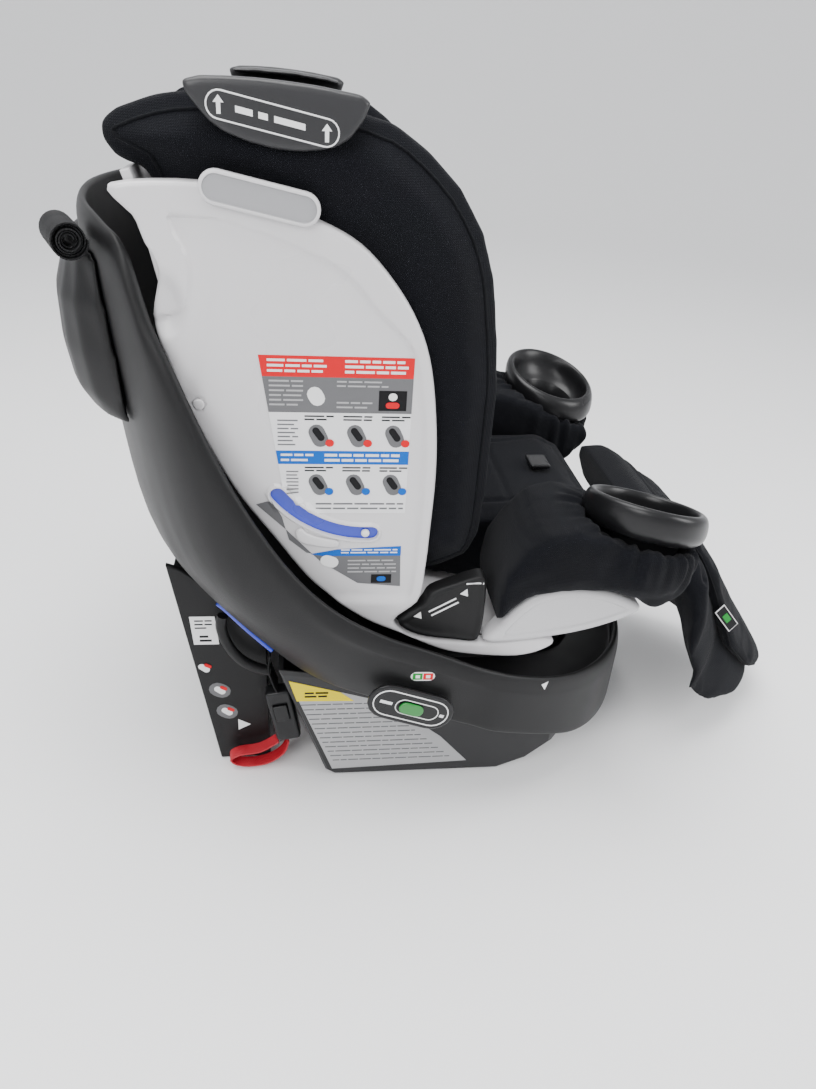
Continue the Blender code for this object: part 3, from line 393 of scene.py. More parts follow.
def relaxed(obj, rounds):
    step = obj.modifiers.new("relax", "SMOOTH")
    step.iterations = rounds
    step.factor = 0.5
    return applied(obj)


def moulded(node, material, cell, rounds):
    obj = merged_copy(node, node + "_finished", material, flat=0.0)
    remeshed(obj, cell)
    relaxed(obj, rounds)
    return smooth_shading(obj, 80.0)


# %% The outline of a CAD plate, taken from its own mesh
def plate_ring(node, x):
    """The (y, z) points of a plate's outline at one x, in order."""
    bm = bmesh.new()
    bm.from_mesh(nodes[node].data)
    bmesh.ops.remove_doubles(bm, verts=bm.verts, dist=0.00002)
    near = {v for v in bm.verts if abs(v.co.x - x) < 0.00006}
    edges = [e for e in bm.edges if e.verts[0] in near and e.verts[1] in near
             and len(e.link_faces) == 2 and e.calc_face_angle(0.0) > 0.3]
    links = {}
    for e in edges:
        for a, b in (e.verts, reversed(e.verts)):
            links.setdefault(a, []).append(b)
    start = min(links, key=lambda v: (v.co.y, v.co.z))
    ring, last = [start], None
    while True:
        ahead = [v for v in links[ring[-1]] if v is not last and v is not ring[-1]]
        last = ring[-1]
        if not ahead or ahead[0] is start:
            break
        ring.append(ahead[0])
        if len(ring) > len(links):
            break
    out = [(v.co.y, v.co.z) for v in ring]
    bm.free()
    area = sum(a[0] * b[1] - b[0] * a[1] for a, b in zip(out, out[1:] + out[:1]))
    return out if area > 0 else out[::-1]


def smooth_points(points, steps, closed=True):
    """Points on a Catmull-Rom curve through the given points."""
    count, out = len(points), []
    for i in range(count if closed else count - 1):
        near = [points[(i + k) % count if closed else min(max(i + k, 0), count - 1)]
                for k in (-1, 0, 1, 2)]
        for s in range(steps):
            t = s / steps
            out.append(tuple(0.5 * ((2 * b) + (c - a) * t + (2 * a - 5 * b + 4 * c - d) * t * t
                                    + (3 * b - a - 3 * c + d) * t ** 3) for a, b, c, d in zip(*near)))
    if not closed:
        out.append(tuple(points[-1]))
    return out


def edge_distance(points, line, closed=True):
    """Each point's distance from a line of points."""
    p = np.asarray(points, float)[:, None, :]
    a = np.asarray(line, float)
    b = np.roll(a, -1, axis=0)
    if not closed:
        a, b = a[:-1], b[:-1]
    d = b - a
    t = np.clip(((p - a) * d).sum(2) / np.maximum((d * d).sum(1), 1e-14), 0, 1)
    return np.sqrt((((a + t[..., None] * d) - p) ** 2).sum(2)).min(1)


def inside(points, ring):
    p, ring = np.asarray(points, float), np.asarray(ring, float)
    hit = np.zeros(len(p), bool)
    for (y0, z0), (y1, z1) in zip(ring, np.roll(ring, -1, axis=0)):
        cross = (z0 > p[:, 1]) != (z1 > p[:, 1])
        with np.errstate(divide="ignore", invalid="ignore"):
            hit ^= cross & (p[:, 0] < (y1 - y0) * (p[:, 1] - z0) / (z1 - z0) + y0)
    return hit


def inward_of(ring):
    """The way into the outline at each of its points."""
    tangent = np.roll(ring, -1, axis=0) - np.roll(ring, 1, axis=0)
    tangent /= np.maximum(np.linalg.norm(tangent, axis=1), 1e-9)[:, None]
    return np.stack([-tangent[:, 1], tangent[:, 0]], axis=1)


# %% A relief plate
def flat_net(ring, pitch, rings, extra=()):
    """Triangles that fill an outline, with extra rows of points close to its edge and along features."""
    ring = np.asarray(ring, float)
    loops_in, inward = [ring], inward_of(ring)
    deepest = rings[-1] if rings else 0
    for step in rings:
        row = ring + inward * step
        loops_in.append(row[inside(row, ring) & (edge_distance(row, ring) > step * 0.93)])
    low, high = ring.min(0), ring.max(0)
    ys, zs = np.arange(low[0], high[0], pitch), np.arange(low[1], high[1], pitch)
    grid = np.array([(y + (pitch / 2 if k % 2 else 0), z) for k, z in enumerate(zs) for y in ys])
    grid = grid[inside(grid, ring)]
    grid = grid[edge_distance(grid, ring) > deepest + pitch * 0.6]
    if len(extra):
        extra = np.asarray(extra, float)
        extra = extra[inside(extra, ring) & (edge_distance(extra, ring) > deepest + 0.0008)]
        gap = np.sqrt(((grid[:, None, :] - extra[None, :, :]) ** 2).sum(2)).min(1)
        grid = np.concatenate([extra, grid[gap > pitch * 0.55]])
    points = np.concatenate(loops_in + [grid])
    count = len(ring)
    found = delaunay_2d_cdt([Vector(p) for p in points], [(i, (i + 1) % count) for i in range(count)],
                            [list(range(count))], 1, 1e-7)
    return np.array([tuple(v) for v in found[0]]), [tuple(f) for f in found[2]]


def relief_plate(name, ring, back, face, materials, pitch, rings, part=None, extra=()):
    """A plate from x = back to x = face(distance from the edge, points), with its edge closed."""
    points, faces = flat_net(ring, pitch, rings, extra)
    far = edge_distance(points, ring)
    front_x = face(far, points)
    count = len(points)
    outward = -1 if front_x.mean() < back else 1
    vertices = [(x, *p) for x, p in zip(front_x, points)] + [(back, *p) for p in points]
    front = [f if outward > 0 else f[::-1] for f in faces]
    rear = [tuple(i + count for i in f[::-1]) if outward > 0 else tuple(i + count for i in f) for f in faces]
    border = {}
    for f in front:
        for a, b in zip(f, f[1:] + f[:1]):
            border[(a, b)] = border.get((a, b), 0) + 1
    walls = [(b, a, a + count, b + count) for a, b in border if (b, a) not in border]
    obj = add_object(name, mesh_from(name, vertices, front + rear + walls), materials)
    if part is not None:
        for polygon, f in zip(obj.data.polygons, front):
            middle = points[list(f)].mean(0)
            polygon.material_index = part(far[list(f)].mean(), middle)
    return smooth_shading(obj, 38.0)


def rounded(far, radius):
    """How much a face drops below its full height near the edge, as a quarter circle."""
    near = np.clip(radius - far, 0, radius)
    return radius - np.sqrt(np.maximum(radius ** 2 - near ** 2, 0))


def ease(value, low, high):
    t = np.clip((value - low) / (high - low), 0, 1)
    return t * t * (3 - 2 * t)


# %% Surfaces to lay things on
def surface_of(*objects):
    vertices, faces = [], []
    for obj in objects:
        start = len(vertices)
        vertices += [obj.matrix_world @ v.co for v in obj.data.vertices]
        faces += [tuple(start + i for i in p.vertices) for p in obj.data.polygons]
    return BVHTree.FromPolygons(vertices, faces)


def dropped(tree, point, way, lift):
    """The place where a ray meets the surface, lifted a little off it."""
    way = Vector(way).normalized()
    hit = tree.ray_cast(Vector(point), way)
    return None if hit[0] is None else hit[0] - way * lift


# %% A laid label: patches of colour on one surface, each lifted a little more than the one before
RAY_START = 0.4                               # metres from the middle, well outside the seat
LABEL_LIFT, LAYER_LIFT, LABEL_DEPTH = 0.00030, 0.00022, 0.00035


def laid_label(name, tree, side, patches, body, pitch):
    """patches are (outline of (y, z) points, finish, layer); side is -1 for the child's right side."""
    used = []
    vertices, faces, kinds = [], [], []
    for ring, paper, layer in patches:
        if paper not in used:
            used.append(paper)
        points, net = flat_net(ring if len(ring) > 12 else resampled(ring, pitch), pitch, ())
        lift = LABEL_LIFT + LAYER_LIFT * layer
        top = [dropped(tree, (side * RAY_START, y, z), (-side, 0, 0), lift) for y, z in points]
        if any(p is None for p in top):
            print(name, "patch off the surface", paper)
            continue
        first, count = len(vertices), len(points)
        thick = min(LABEL_DEPTH, lift - 0.00005)
        vertices += top + [p - Vector((side * thick, 0, 0)) for p in top]
        front = [f if side > 0 else f[::-1] for f in net]
        border = {(a, b) for f in front for a, b in zip(f, f[1:] + f[:1])}
        out = front + [tuple(i + count for i in f[::-1]) for f in front]
        out += [(b, a, a + count, b + count) for a, b in border if (b, a) not in border]
        faces += [tuple(first + i for i in f) for f in out]
        kinds += [used.index(paper)] * len(out)
    obj = add_object(name, mesh_from(name, vertices, faces), [papers[p] for p in used])
    obj.data.polygons.foreach_set("material_index", kinds)
    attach(obj, body)
    return obj


def resampled(ring, pitch):
    out = []
    for (y0, z0), (y1, z1) in zip(ring, ring[1:] + ring[:1]):
        count = max(int(math.hypot(y1 - y0, z1 - z0) / pitch), 1)
        out += [(y0 + (y1 - y0) * i / count, z0 + (z1 - z0) * i / count) for i in range(count)]
    area = sum(a[0] * b[1] - b[0] * a[1] for a, b in zip(out, out[1:] + out[:1]))
    return out if area > 0 else out[::-1]


def box_ring(y0, z0, y1, z1):
    return [(y0, z0), (y1, z0), (y1, z1), (y0, z1)]


def turned_ring(ring, centre, degrees):
    c, s = math.cos(math.radians(degrees)), math.sin(math.radians(degrees))
    return [(centre[0] + a * c - b * s, centre[1] + a * s + b * c) for a, b in ring]


def pill_ring(length, width, steps):
    half, r = length / 2 - width / 2, width / 2
    end = [(half + r * math.cos(t), r * math.sin(t)) for t in
           (math.pi * (i / steps - 0.5) for i in range(steps + 1))]
    return end + [(-a, -b) for a, b in end]


print("helpers ready")

# %% [markdown]
# ## The carrier bowl
# The bowl is the black moulding that carries everything. Low and round in front, it climbs in one sweep to
# a tall upright behind the seat. Its height, reach and floor follow simple rules by angle, so it is lofted
# from sections turned about the seat's axis, more of them than the CAD needs, and then subdivided.

# %% The bowl's rules: (angle from the rear, value) pairs in metres
AXIS_Y = -0.110
RIM_HEIGHT = [(0, 0.566), (24, 0.564), (32, 0.556), (34.6, 0.540), (35.2, 0.510), (39, 0.468), (42, 0.424),
              (45, 0.384), (48.5, 0.339), (53, 0.295), (58, 0.260), (66, 0.232), (76, 0.212), (85, 0.194),
              (95, 0.177), (107, 0.160), (120, 0.145), (135, 0.134), (160, 0.124), (180, 0.121)]
SKIRT_HEIGHT = [(0, 0.260), (30, 0.258), (32, 0.240), (34, 0.218), (39, 0.175), (44, 0.156), (62, 0.155),
                (80, 0.131), (90, 0.118), (103, 0.099), (122, 0.066), (135, 0.052), (160, 0.044), (180, 0.042)]
REAR_RADIUS = [(0.15, 0.243), (0.175, 0.262), (0.20, 0.280), (0.223, 0.297), (0.25, 0.315), (0.27, 0.327),
               (0.30, 0.338), (0.36, 0.345), (0.44, 0.352), (0.50, 0.358), (0.56, 0.362)]
SIDE_REACH = [(0.12, 0.228), (0.20, 0.230), (0.25, 0.238), (0.30, 0.243), (0.38, 0.243), (0.47, 0.238),
              (0.56, 0.232)]
FRONT_RADIUS = [(90, 0.228), (103, 0.2206), (122, 0.213), (135, 0.209), (180, 0.2025)]
FLOOR_HEIGHT = [(0.146, 0.145), (0.20, 0.160), (0.225, 0.180), (0.26, 0.215), (0.30, 0.255), (0.34, 0.295)]
FLOOR_INNER_RADIUS = 0.146
WALL = 0.010


def along(x, pairs):
    return float(np.interp(x, [p[0] for p in pairs], [p[1] for p in pairs]))


def eased(x, pairs, spread):
    """The value at x, averaged over a little either side, which rounds the corners of the rule."""
    return sum(along(x + spread * k / 3, pairs) * w for k, w in zip(range(-3, 4), (1, 2, 3, 4, 3, 2, 1))) / 16


def bowl_radius(angle, z):
    if angle >= 90:
        return eased(angle, FRONT_RADIUS, 5)
    rear = eased(z, REAR_RADIUS, 0.015)
    side = eased(z, SIDE_REACH, 0.015) / max(math.sin(math.radians(angle)), 0.05)
    return (rear ** -18 + side ** -18) ** (-1 / 18)


def bowl_section(angle):
    """(radius, height) points: up the outer wall, over the rim, down the inner wall, and the floor."""
    top = eased(angle, RIM_HEIGHT, 0.9 if angle < 40 else 2.5)
    floor_at = lambda r: min(eased(r, FLOOR_HEIGHT, 0.006), top - 0.012)
    corner = 0.10
    while corner < floor_at(bowl_radius(angle, corner) - WALL) and corner < top:
        corner += 0.0005
    under = corner - 0.008
    low = min(eased(angle, SKIRT_HEIGHT, 1.2 if angle < 46 else 3.0), under - 0.001)
    tall = top - low
    points = [(bowl_radius(angle, low) - 0.0015, low)]
    for share in (0.02, 0.12, 0.28, 0.44, 0.58, 0.70, 0.80):
        z = low + tall * share
        points.append((bowl_radius(angle, z), z))
    for drop, lean in ((0.016, 0.0004), (0.009, 0.0012), (0.004, 0.0024), (0.0006, 0.0042)):
        points.append((bowl_radius(angle, top) - lean, top + 0.003 - drop))
    for lean, rise in ((0.0055, 0.0034), (0.0080, 0.0030), (0.0096, 0.0010), (WALL, -0.0020)):
        points.append((bowl_radius(angle, top) - lean, top + rise))
    for share in (0.1, 0.3, 0.55, 0.8, 0.97):
        z = top + (corner - top) * share
        points.append((bowl_radius(angle, z) - WALL, z))
    outer = bowl_radius(angle, corner) - WALL
    floor_line = [outer + (FLOOR_INNER_RADIUS - outer) * k for k in (0.03, 0.33, 0.66, 0.97, 1.0)]
    points += [(r, floor_at(r)) for r in floor_line]
    points += [(r, floor_at(r) - 0.008) for r in floor_line[::-1]]
    points.append((bowl_radius(angle, under) - WALL, under))
    points.append((bowl_radius(angle, low) - WALL, low))
    return points


# %% The bowl
angles = np.concatenate([np.arange(0, 28, 3.5), np.arange(28, 46, 1.0), np.arange(46, 180, 3.5)])
around = [(a, 1) for a in angles] + [(180.0, 1)] + [(a, -1) for a in angles[:0:-1]]
vertices, faces = [], []
for angle, side in around:
    turn = math.radians(angle)
    vertices += [(side * r * math.sin(turn), AXIS_Y + r * math.cos(turn), z)
                 for r, z in bowl_section(float(angle))]
per = len(vertices) // len(around)
for i in range(len(around)):
    j = (i + 1) % len(around)
    faces += [(i * per + k, j * per + k, j * per + (k + 1) % per, i * per + (k + 1) % per)
              for k in range(per)]
bowl = add_object("carrier_bowl_finished", mesh_from("carrier_bowl_finished", vertices, faces), matte_black)
subdivided(bowl)


def facing_out(obj):
    bm = bmesh.new()
    bm.from_mesh(obj.data)
    bmesh.ops.recalc_face_normals(bm, faces=bm.faces)
    if bm.calc_volume(signed=True) < 0:
        bmesh.ops.reverse_faces(bm, faces=bm.faces)
    bm.to_mesh(obj.data)
    bm.free()
    return obj


facing_out(bowl)
smooth_shading(bowl, 60.0)
own(bowl, "carrier_bowl")
bowl_skin = surface_of(bowl)

# %% [markdown]
# ## The base below the bowl
# The tub, the rear panel and its cheeks, the webbing and connectors are right as the CAD has them. They are
# carried over with softened edges, and the tether pocket is moulded. A rounded lip closes the edge of the
# belt opening, between the tub and the cheek.

# %% Carried pieces of the base and turntable
for node, material in (("base_tub", base_grey), ("base_web", base_grey), ("rear_panel", matte_black),
                       ("turntable_plate", matte_black)):
    own(carried(node, material, 0.0014 if node == "base_tub" else 0.0008), node)
for node in ("bearing_race", "pivot_bolt", "rotation_latch", "seat_lock_bolt"):
    own(carried(node, steel, 0.0004), node)
own(moulded("tether_pocket", matte_black, 0.0035, 8), "tether_pocket")
tub_skin = surface_of(bpy.data.objects["base_tub_finished"])


# %% [markdown]
# ## Piping
# Seams have a thin round cord sewn into them, and printed outlines are thin lines too. One small Geometry
# Nodes tree turns any path into a tube.

# %% The piping tree
piping_tree = bpy.data.node_groups.new("piping", "GeometryNodeTree")
for label, kind in (("Path", "Geometry"), ("Radius", "Float"), ("Material", "Material")):
    piping_tree.interface.new_socket(name=label, in_out="INPUT", socket_type="NodeSocket" + kind)
piping_tree.interface.new_socket(name="Geometry", in_out="OUTPUT", socket_type="NodeSocketGeometry")
given = piping_tree.nodes.new("NodeGroupInput")
section = piping_tree.nodes.new("GeometryNodeCurvePrimitiveCircle")
section.inputs["Resolution"].default_value = 8
sweep = piping_tree.nodes.new("GeometryNodeCurveToMesh")
sweep.inputs["Fill Caps"].default_value = True
smooth_step = piping_tree.nodes.new("GeometryNodeSetShadeSmooth")
paint = piping_tree.nodes.new("GeometryNodeSetMaterial")
made = piping_tree.nodes.new("NodeGroupOutput")
for source, label, target, socket in (
        (given, "Radius", section, "Radius"), (given, "Path", sweep, "Curve"),
        (section, "Curve", sweep, "Profile Curve"), (sweep, "Mesh", smooth_step, "Geometry"),
        (smooth_step, "Geometry", paint, "Geometry"), (given, "Material", paint, "Material"),
        (paint, "Geometry", made, "Geometry")):
    piping_tree.links.new(source.outputs[label], target.inputs[socket])


# %% Making a tube with the tree
def tube(name, path, radius, material, body, closed=False):
    curve = bpy.data.curves.new(name, "CURVE")
    curve.dimensions = "3D"
    spline = curve.splines.new("POLY")
    spline.points.add(len(path) - 1)
    for point, place in zip(spline.points, path):
        point.co = (*place, 1.0)
    spline.use_cyclic_u = closed
    source = bpy.data.objects.new(name + "_path", curve)
    bpy.context.scene.collection.objects.link(source)
    step = source.modifiers.new("made", "NODES")
    step.node_group = piping_tree
    values = {"Radius": radius, "Material": material}
    for item in piping_tree.interface.items_tree:
        if item.in_out == "INPUT" and item.name in values:
            step[item.identifier] = values[item.name]
    mesh = bpy.data.meshes.new_from_object(source.evaluated_get(bpy.context.evaluated_depsgraph_get()))
    bpy.data.objects.remove(source, do_unlink=True)
    obj = bpy.data.objects.new(name, mesh)
    bpy.context.scene.collection.objects.link(obj)
    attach(obj, body)
    return obj


def painted_line(name, skin, side, ring, pitch, radius, body):
    """A closed printed outline, laid on a surface from its side."""
    path = [dropped(skin, (side * RAY_START, y, z), (-side, 0, 0), 0.0001) for y, z in resampled(ring, pitch)]
    if any(p is None for p in path):
        print(name, "leaves the surface below it")
    else:
        tube(name, path, radius, papers["paper_mark"], body, closed=True)


def on_skin(tree, points, lift):
    """Each point moved to the nearest place on a surface, lifted off it along its normal."""
    out = []
    for p in points:
        place, normal, _, _ = tree.find_nearest(Vector(p))
        out.append(place + normal * lift)
    return out


# %% The lip of the belt opening, on both sides
for side, sign in SIDES:
    lip = smooth_points([(0.140, 0.205), (0.142, 0.190), (0.136, 0.168), (0.124, 0.150), (0.108, 0.139),
                         (0.096, 0.136)], 5, closed=False)
    tube(f"belt_opening_lip_{side}", [(sign * 0.150, y, z) for y, z in lip], 0.0055, matte_black, "base")
print("base pieces done")

# %% [markdown]
# ## Webbing and connectors
# The lower-anchor straps, their connectors and the red pull loops hang behind the tub. Straps are modelled
# directly, because a remesh would wipe them out.

# %% Straps, connectors and buttons
for side, sign in SIDES:
    for node, material in (("anchor_strap_" + side, webbing_black), ("pull_loop_" + side, webbing_red),
                           ("shoulder_strap_" + side, webbing_black), ("hip_strap_" + side, webbing_black)):
        own(carried(node, material, 0.0003, 1), node)
    own(carried("anchor_connector_" + side, satin_black, 0.0010, 3), "anchor_connector_" + side)
    own(carried("anchor_button_" + side, satin_black, 0.0005), "anchor_button_" + side)
for node in ("chest_clip", "buckle"):
    own(moulded(node, satin_black, 0.0012, 4), node)
own(carried("buckle_button", signal_red, 0.0008), "buckle_button")
own(moulded("adjuster_button", satin_black, 0.0009, 4), "adjuster_button")
own(moulded("recline_pull", satin_black, 0.0015, 5), "recline_pull")
own(moulded("headrest_handle", satin_black, 0.0010, 4), "headrest_handle")
own(carried("headrest_shell", satin_black), "headrest_shell")


# %% The rolled tether: webbing wound on itself, with its turns showing at the ends
def roll(name, material):
    a, b = Vector((-0.185, 0.2235, 0.553)), Vector((-0.140, 0.2420, 0.553))
    way, up = (b - a).normalized(), Vector((0, 0, 1))
    side_way = way.cross(up).normalized()
    turns, steps, thick, core, spread_out = 5.0, 120, 0.0011, 0.0030, 0.0096
    ring = [(core + spread_out * i / steps, 2 * math.pi * turns * i / steps) for i in range(steps + 1)]
    vertices, faces = [], []
    for r, turn in ring:
        for rad in (r, r + thick):
            for end in (a + way * 0.002 * math.sin(turn * 0.37), b + way * 0.0015 * math.sin(turn * 0.53)):
                vertices.append(end + side_way * rad * math.cos(turn) + up * rad * math.sin(turn))
    for i in range(steps):
        p, q = 4 * i, 4 * (i + 1)
        for u, v in ((0, 1), (1, 3), (3, 2), (2, 0)):
            faces.append((p + u, p + v, q + v, q + u))
    faces += [(0, 2, 3, 1), (4 * steps, 4 * steps + 1, 4 * steps + 3, 4 * steps + 2)]
    obj = facing_out(add_object(name, mesh_from(name, vertices, faces), material))
    return smooth_shading(obj, 50.0)


own(roll("tether_roll_finished", webbing_black), "tether_roll")
print("webbing done")

# %% [markdown]
# ## Padded covers
# The wings, cushions, armrests, headrest and calf flap are knit over foam. Each starts from its CAD solid,
# remeshed in small cells. Some are pulled into a crown first. Cloth under a little air pressure, with no
# gravity, then swells and settles it, and a cap keeps every point close to where the foam holds it. Seams
# are pressed in afterwards, because a remesh would lose them.

# %% Moving points in code
def points_of(obj):
    co = np.zeros(len(obj.data.vertices) * 3)
    obj.data.vertices.foreach_get("co", co)
    return co.reshape(-1, 3)


def set_points(obj, co):
    obj.data.vertices.foreach_set("co", np.ascontiguousarray(co, np.float64).ravel())
    obj.data.update()
    return obj


def normals_of(obj):
    normals = np.zeros(len(obj.data.vertices) * 3)
    obj.data.vertices.foreach_get("normal", normals)
    return normals.reshape(-1, 3)


def foam(node, cell, rounds, shrink=0.0015):
    obj = merged_copy(node, node + "_padded", knit_black, flat=0.0)
    remeshed(obj, cell)
    relaxed(obj, rounds)
    return set_points(obj, points_of(obj) - normals_of(obj) * shrink)


# %% Air pressure, with a cap on how far a point may move
AIR_PRESSURE, AIR_FRAMES = 4.0, 20


def swollen(obj, cap):
    start = points_of(obj)
    air = obj.modifiers.new("air", "CLOTH")
    air.settings.quality = 4
    air.settings.use_pressure = True
    air.settings.uniform_pressure_force = AIR_PRESSURE
    air.settings.effector_weights.gravity = 0.0
    air.point_cache.frame_start = 1
    air.point_cache.frame_end = AIR_FRAMES
    for f in range(1, AIR_FRAMES + 1):
        bpy.context.scene.frame_set(f)
    moved = obj.evaluated_get(bpy.context.evaluated_depsgraph_get()).to_mesh()
    co = np.zeros(len(moved.vertices) * 3)
    moved.vertices.foreach_get("co", co)
    obj.modifiers.clear()
    bpy.context.scene.frame_set(1)
    way = co.reshape(-1, 3) - start
    far = np.maximum(np.linalg.norm(way, axis=1), 1e-9)[:, None]
    set_points(obj, start + way / far * cap * np.tanh(far / cap))
    print(obj.name, "swelled by up to", round(float(far.max() * 1000), 1), "mm before the cap")
    return obj


def pressed_seam(obj, path, depth=0.0022, width=0.0035):
    """A groove along a path of points near the surface."""
    co, normals = points_of(obj), normals_of(obj)
    line = np.asarray([tuple(p) for p in path])
    low, high = line.min(0) - 4 * width, line.max(0) + 4 * width
    near = np.all((co > low) & (co < high), axis=1)
    far = edge_distance(co[near], line, closed=False)
    co[near] -= normals[near] * (depth * np.exp(-(far / width) ** 2))[:, None]
    return set_points(obj, co)


def mirrored(obj, name):
    """The same piece on the other side of the seat, facing out."""
    mesh = obj.data.copy()
    twin = add_object(name, mesh, list(obj.data.materials))
    set_points(twin, points_of(twin) * (-1, 1, 1))
    bm = bmesh.new()
    bm.from_mesh(mesh)
    bmesh.ops.reverse_faces(bm, faces=bm.faces)
    bm.to_mesh(mesh)
    bm.free()
    return smooth_shading(twin, 180.0)


def dressed(obj, node):
    smooth_shading(obj, 180.0)
    own(obj, node)
    return obj


# %% [markdown]
# ### Wings
# The wings are the largest soft pieces. Each is a slab with a rounded front edge that stands a little
# proud of the shell panel in front of it, with piping where its outer face meets the edge band.

# %% Wings
WING_OUT, WING_IN = 0.1865, 0.1445
panel_ring = smooth_points(plate_ring("side_panel_right", -0.199), 2)
wing_ring = smooth_points(plate_ring("wing_cover_right", -0.1815), 2)
wing = foam("wing_cover_right", 0.005, 4, 0.001)
co = points_of(wing)
flat = co[:, 1:]
far_edge = edge_distance(flat, wing_ring)
far_panel = edge_distance(flat, panel_ring) * np.where(inside(flat, panel_ring), 0.0, 1.0)
middle = -(WING_OUT + WING_IN) / 2
outer = co[:, 0] < middle
thin = 1 - 0.34 * (1 - ease(far_edge, 0.0, 0.030))
co[:, 0] = middle + (co[:, 0] - middle) * thin
co[outer, 0] -= 0.0100 * (ease(far_panel, 0.0, 0.030) * ease(far_edge, 0.004, 0.034))[outer]
co[~outer, 0] += 0.0060 * ease(far_edge, 0.0, 0.045)[~outer] * ease(co[~outer, 2], 0.52, 0.40)
set_points(wing, co)
swollen(wing, 0.0025)
subdivided(wing)


def inset_path(ring, step):
    """A ring moved inwards, without the points that come too close to it elsewhere."""
    ring = np.asarray(ring, float)
    row = ring + inward_of(ring) * step
    row = row[inside(row, ring) & (edge_distance(row, ring) > step * 0.95)]
    return [tuple(p) for p in row]


piping_line = [p for p in inset_path(resampled(wing_ring, 0.006), 0.0075) if p[0] < 0.182 or p[1] > 0.604]
pressed_seam(wing, [(-WING_OUT + 0.003, y, z) for y, z in piping_line], 0.0016, 0.0028)
other_wing = mirrored(wing, "wing_cover_left_padded")
dressed(wing, "wing_cover_right")
dressed(other_wing, "wing_cover_left")
wing_skins = {"right": surface_of(wing), "left": surface_of(other_wing)}
for side, sign in SIDES:
    run = [p for p in piping_line if not (p[0] > 0.0 and p[1] < 0.56)]
    start = max(range(len(run)), key=lambda i: math.dist(run[i], run[i - 1]))
    run = run[start:] + run[:start]
    path = on_skin(wing_skins[side], [(sign * (WING_OUT + 0.004), y, z) for y, z in run], 0.0003)
    tube(f"wing_piping_{side}", path, 0.0012, knit_plain, "seat")
print("wings", len(wing.data.polygons))

# %% [markdown]
# ### Cushions, headrest and armrests
# The back and seat cushions have pressed seams where their panels are sewn together. Each armrest runs
# from the wing up to its cup holder, and the fabric gathers in small folds under the cup's rim.

# %% Back cushion, seat cushion and headrest
BACK_LEAN, BACK_FRONT_Y, BACK_FRONT_Z = 1 / 3, 0.050, 0.380


def back_point(x, z, forward=0.0):
    return (x, BACK_FRONT_Y + BACK_LEAN * (z - BACK_FRONT_Z) - forward, z)


back = foam("back_cushion", 0.0055, 3)
swollen(back, 0.0025)
subdivided(back)
for sign in (-1, 1):
    pressed_seam(back, [back_point(sign * (0.070 + 0.012 * math.sin(k / 3)), 0.33 + 0.021 * k)
                        for k in range(14)])
for z in (0.355, 0.475):
    pressed_seam(back, [back_point(x / 1000, z) for x in range(-74, 75, 6)])
dressed(back, "back_cushion")

seat = foam("seat_cushion", 0.0050, 3)
swollen(seat, 0.0022)
subdivided(seat)
for sign in (-1, 1):
    pressed_seam(seat, [(sign * (0.066 + 0.020 * (k / 12) ** 2), -0.020 - 0.0185 * k,
                         0.287 + 0.004 * math.sin(k / 4)) for k in range(13)], 0.003, 0.004)
pressed_seam(seat, [(x / 1000, -0.150, 0.292) for x in range(-70, 71, 5)], 0.0025, 0.0035)
pressed_seam(seat, [(x / 1000, -0.237, 0.287) for x in range(-100, 101, 5)], 0.0025, 0.0035)
dressed(seat, "seat_cushion")

head = foam("headrest_pad", 0.0045, 4)
swollen(head, 0.003)
subdivided(head)
for sign in (-1, 1):
    pressed_seam(head, [back_point(sign * 0.097, 0.445 + 0.012 * k, 0.050) for k in range(13)], 0.003, 0.004)
dressed(head, "headrest_pad")

# %% Armrests, with gathers under the cup holders
CUP_X, CUP_Y, CUP_Z = 0.1725, -0.250, 0.330
CUP_RIM, CUP_BODY, CUP_DEEP = 0.057, 0.037, 0.064
CUP_LEAN_IN, CUP_LEAN_ON = math.tan(math.radians(15)), math.tan(math.radians(12))


def cup_point(sign, r, z, turn):
    """A point of a cup holder: radius, height and angle, leaned in towards the child."""
    x, y = r * math.cos(turn), r * math.sin(turn)
    share = min(max(1 + (z + 0.015) / (CUP_DEEP - 0.015), 0.0), 1.0)
    return (sign * CUP_X + x, CUP_Y + y, CUP_Z + z + share * (sign * CUP_LEAN_IN * x + CUP_LEAN_ON * y))


collar_line = [(0.0400, -0.0225), (0.0455, -0.0220), (0.0500, -0.0225), (0.0535, -0.0255), (0.0545, -0.0320),
               (0.0535, -0.0410), (0.0500, -0.0520), (0.0440, -0.0620), (0.0400, -0.0640)]
COLLAR_STEPS, rows = 96, len(collar_line)
collar_points = [cup_point(-1, r, z, 2 * math.pi * k / COLLAR_STEPS)
                 for k in range(COLLAR_STEPS) for r, z in collar_line]
collar_faces = []
for k in range(COLLAR_STEPS):
    here, after = k * rows, (k + 1) % COLLAR_STEPS * rows
    for a in range(rows):
        b = (a + 1) % rows
        collar_faces.append((here + a, after + a, after + b, here + b))
collar = facing_out(add_object("collar", mesh_from("collar", collar_points, collar_faces), knit_black))
rest = merged_copy("armrest_right", "armrest_right_padded", knit_black, flat=0.0)
both = bmesh.new()
both.from_mesh(rest.data)
both.from_mesh(collar.data)
both.to_mesh(rest.data)
both.free()
bpy.data.objects.remove(collar, do_unlink=True)
remeshed(rest, 0.0038)
relaxed(rest, 4)
co = points_of(rest)
outer = co[:, 0] < -0.16
puff = ease(co[:, 1], -0.120, -0.175) * ease(co[:, 2], 0.252, 0.285) * ease(-co[:, 1], 0.305, 0.27)
co[outer, 0] -= 0.0080 * puff[outer]
set_points(rest, co)
swollen(rest, 0.0025)
subdivided(rest)
co, normals = points_of(rest), normals_of(rest)
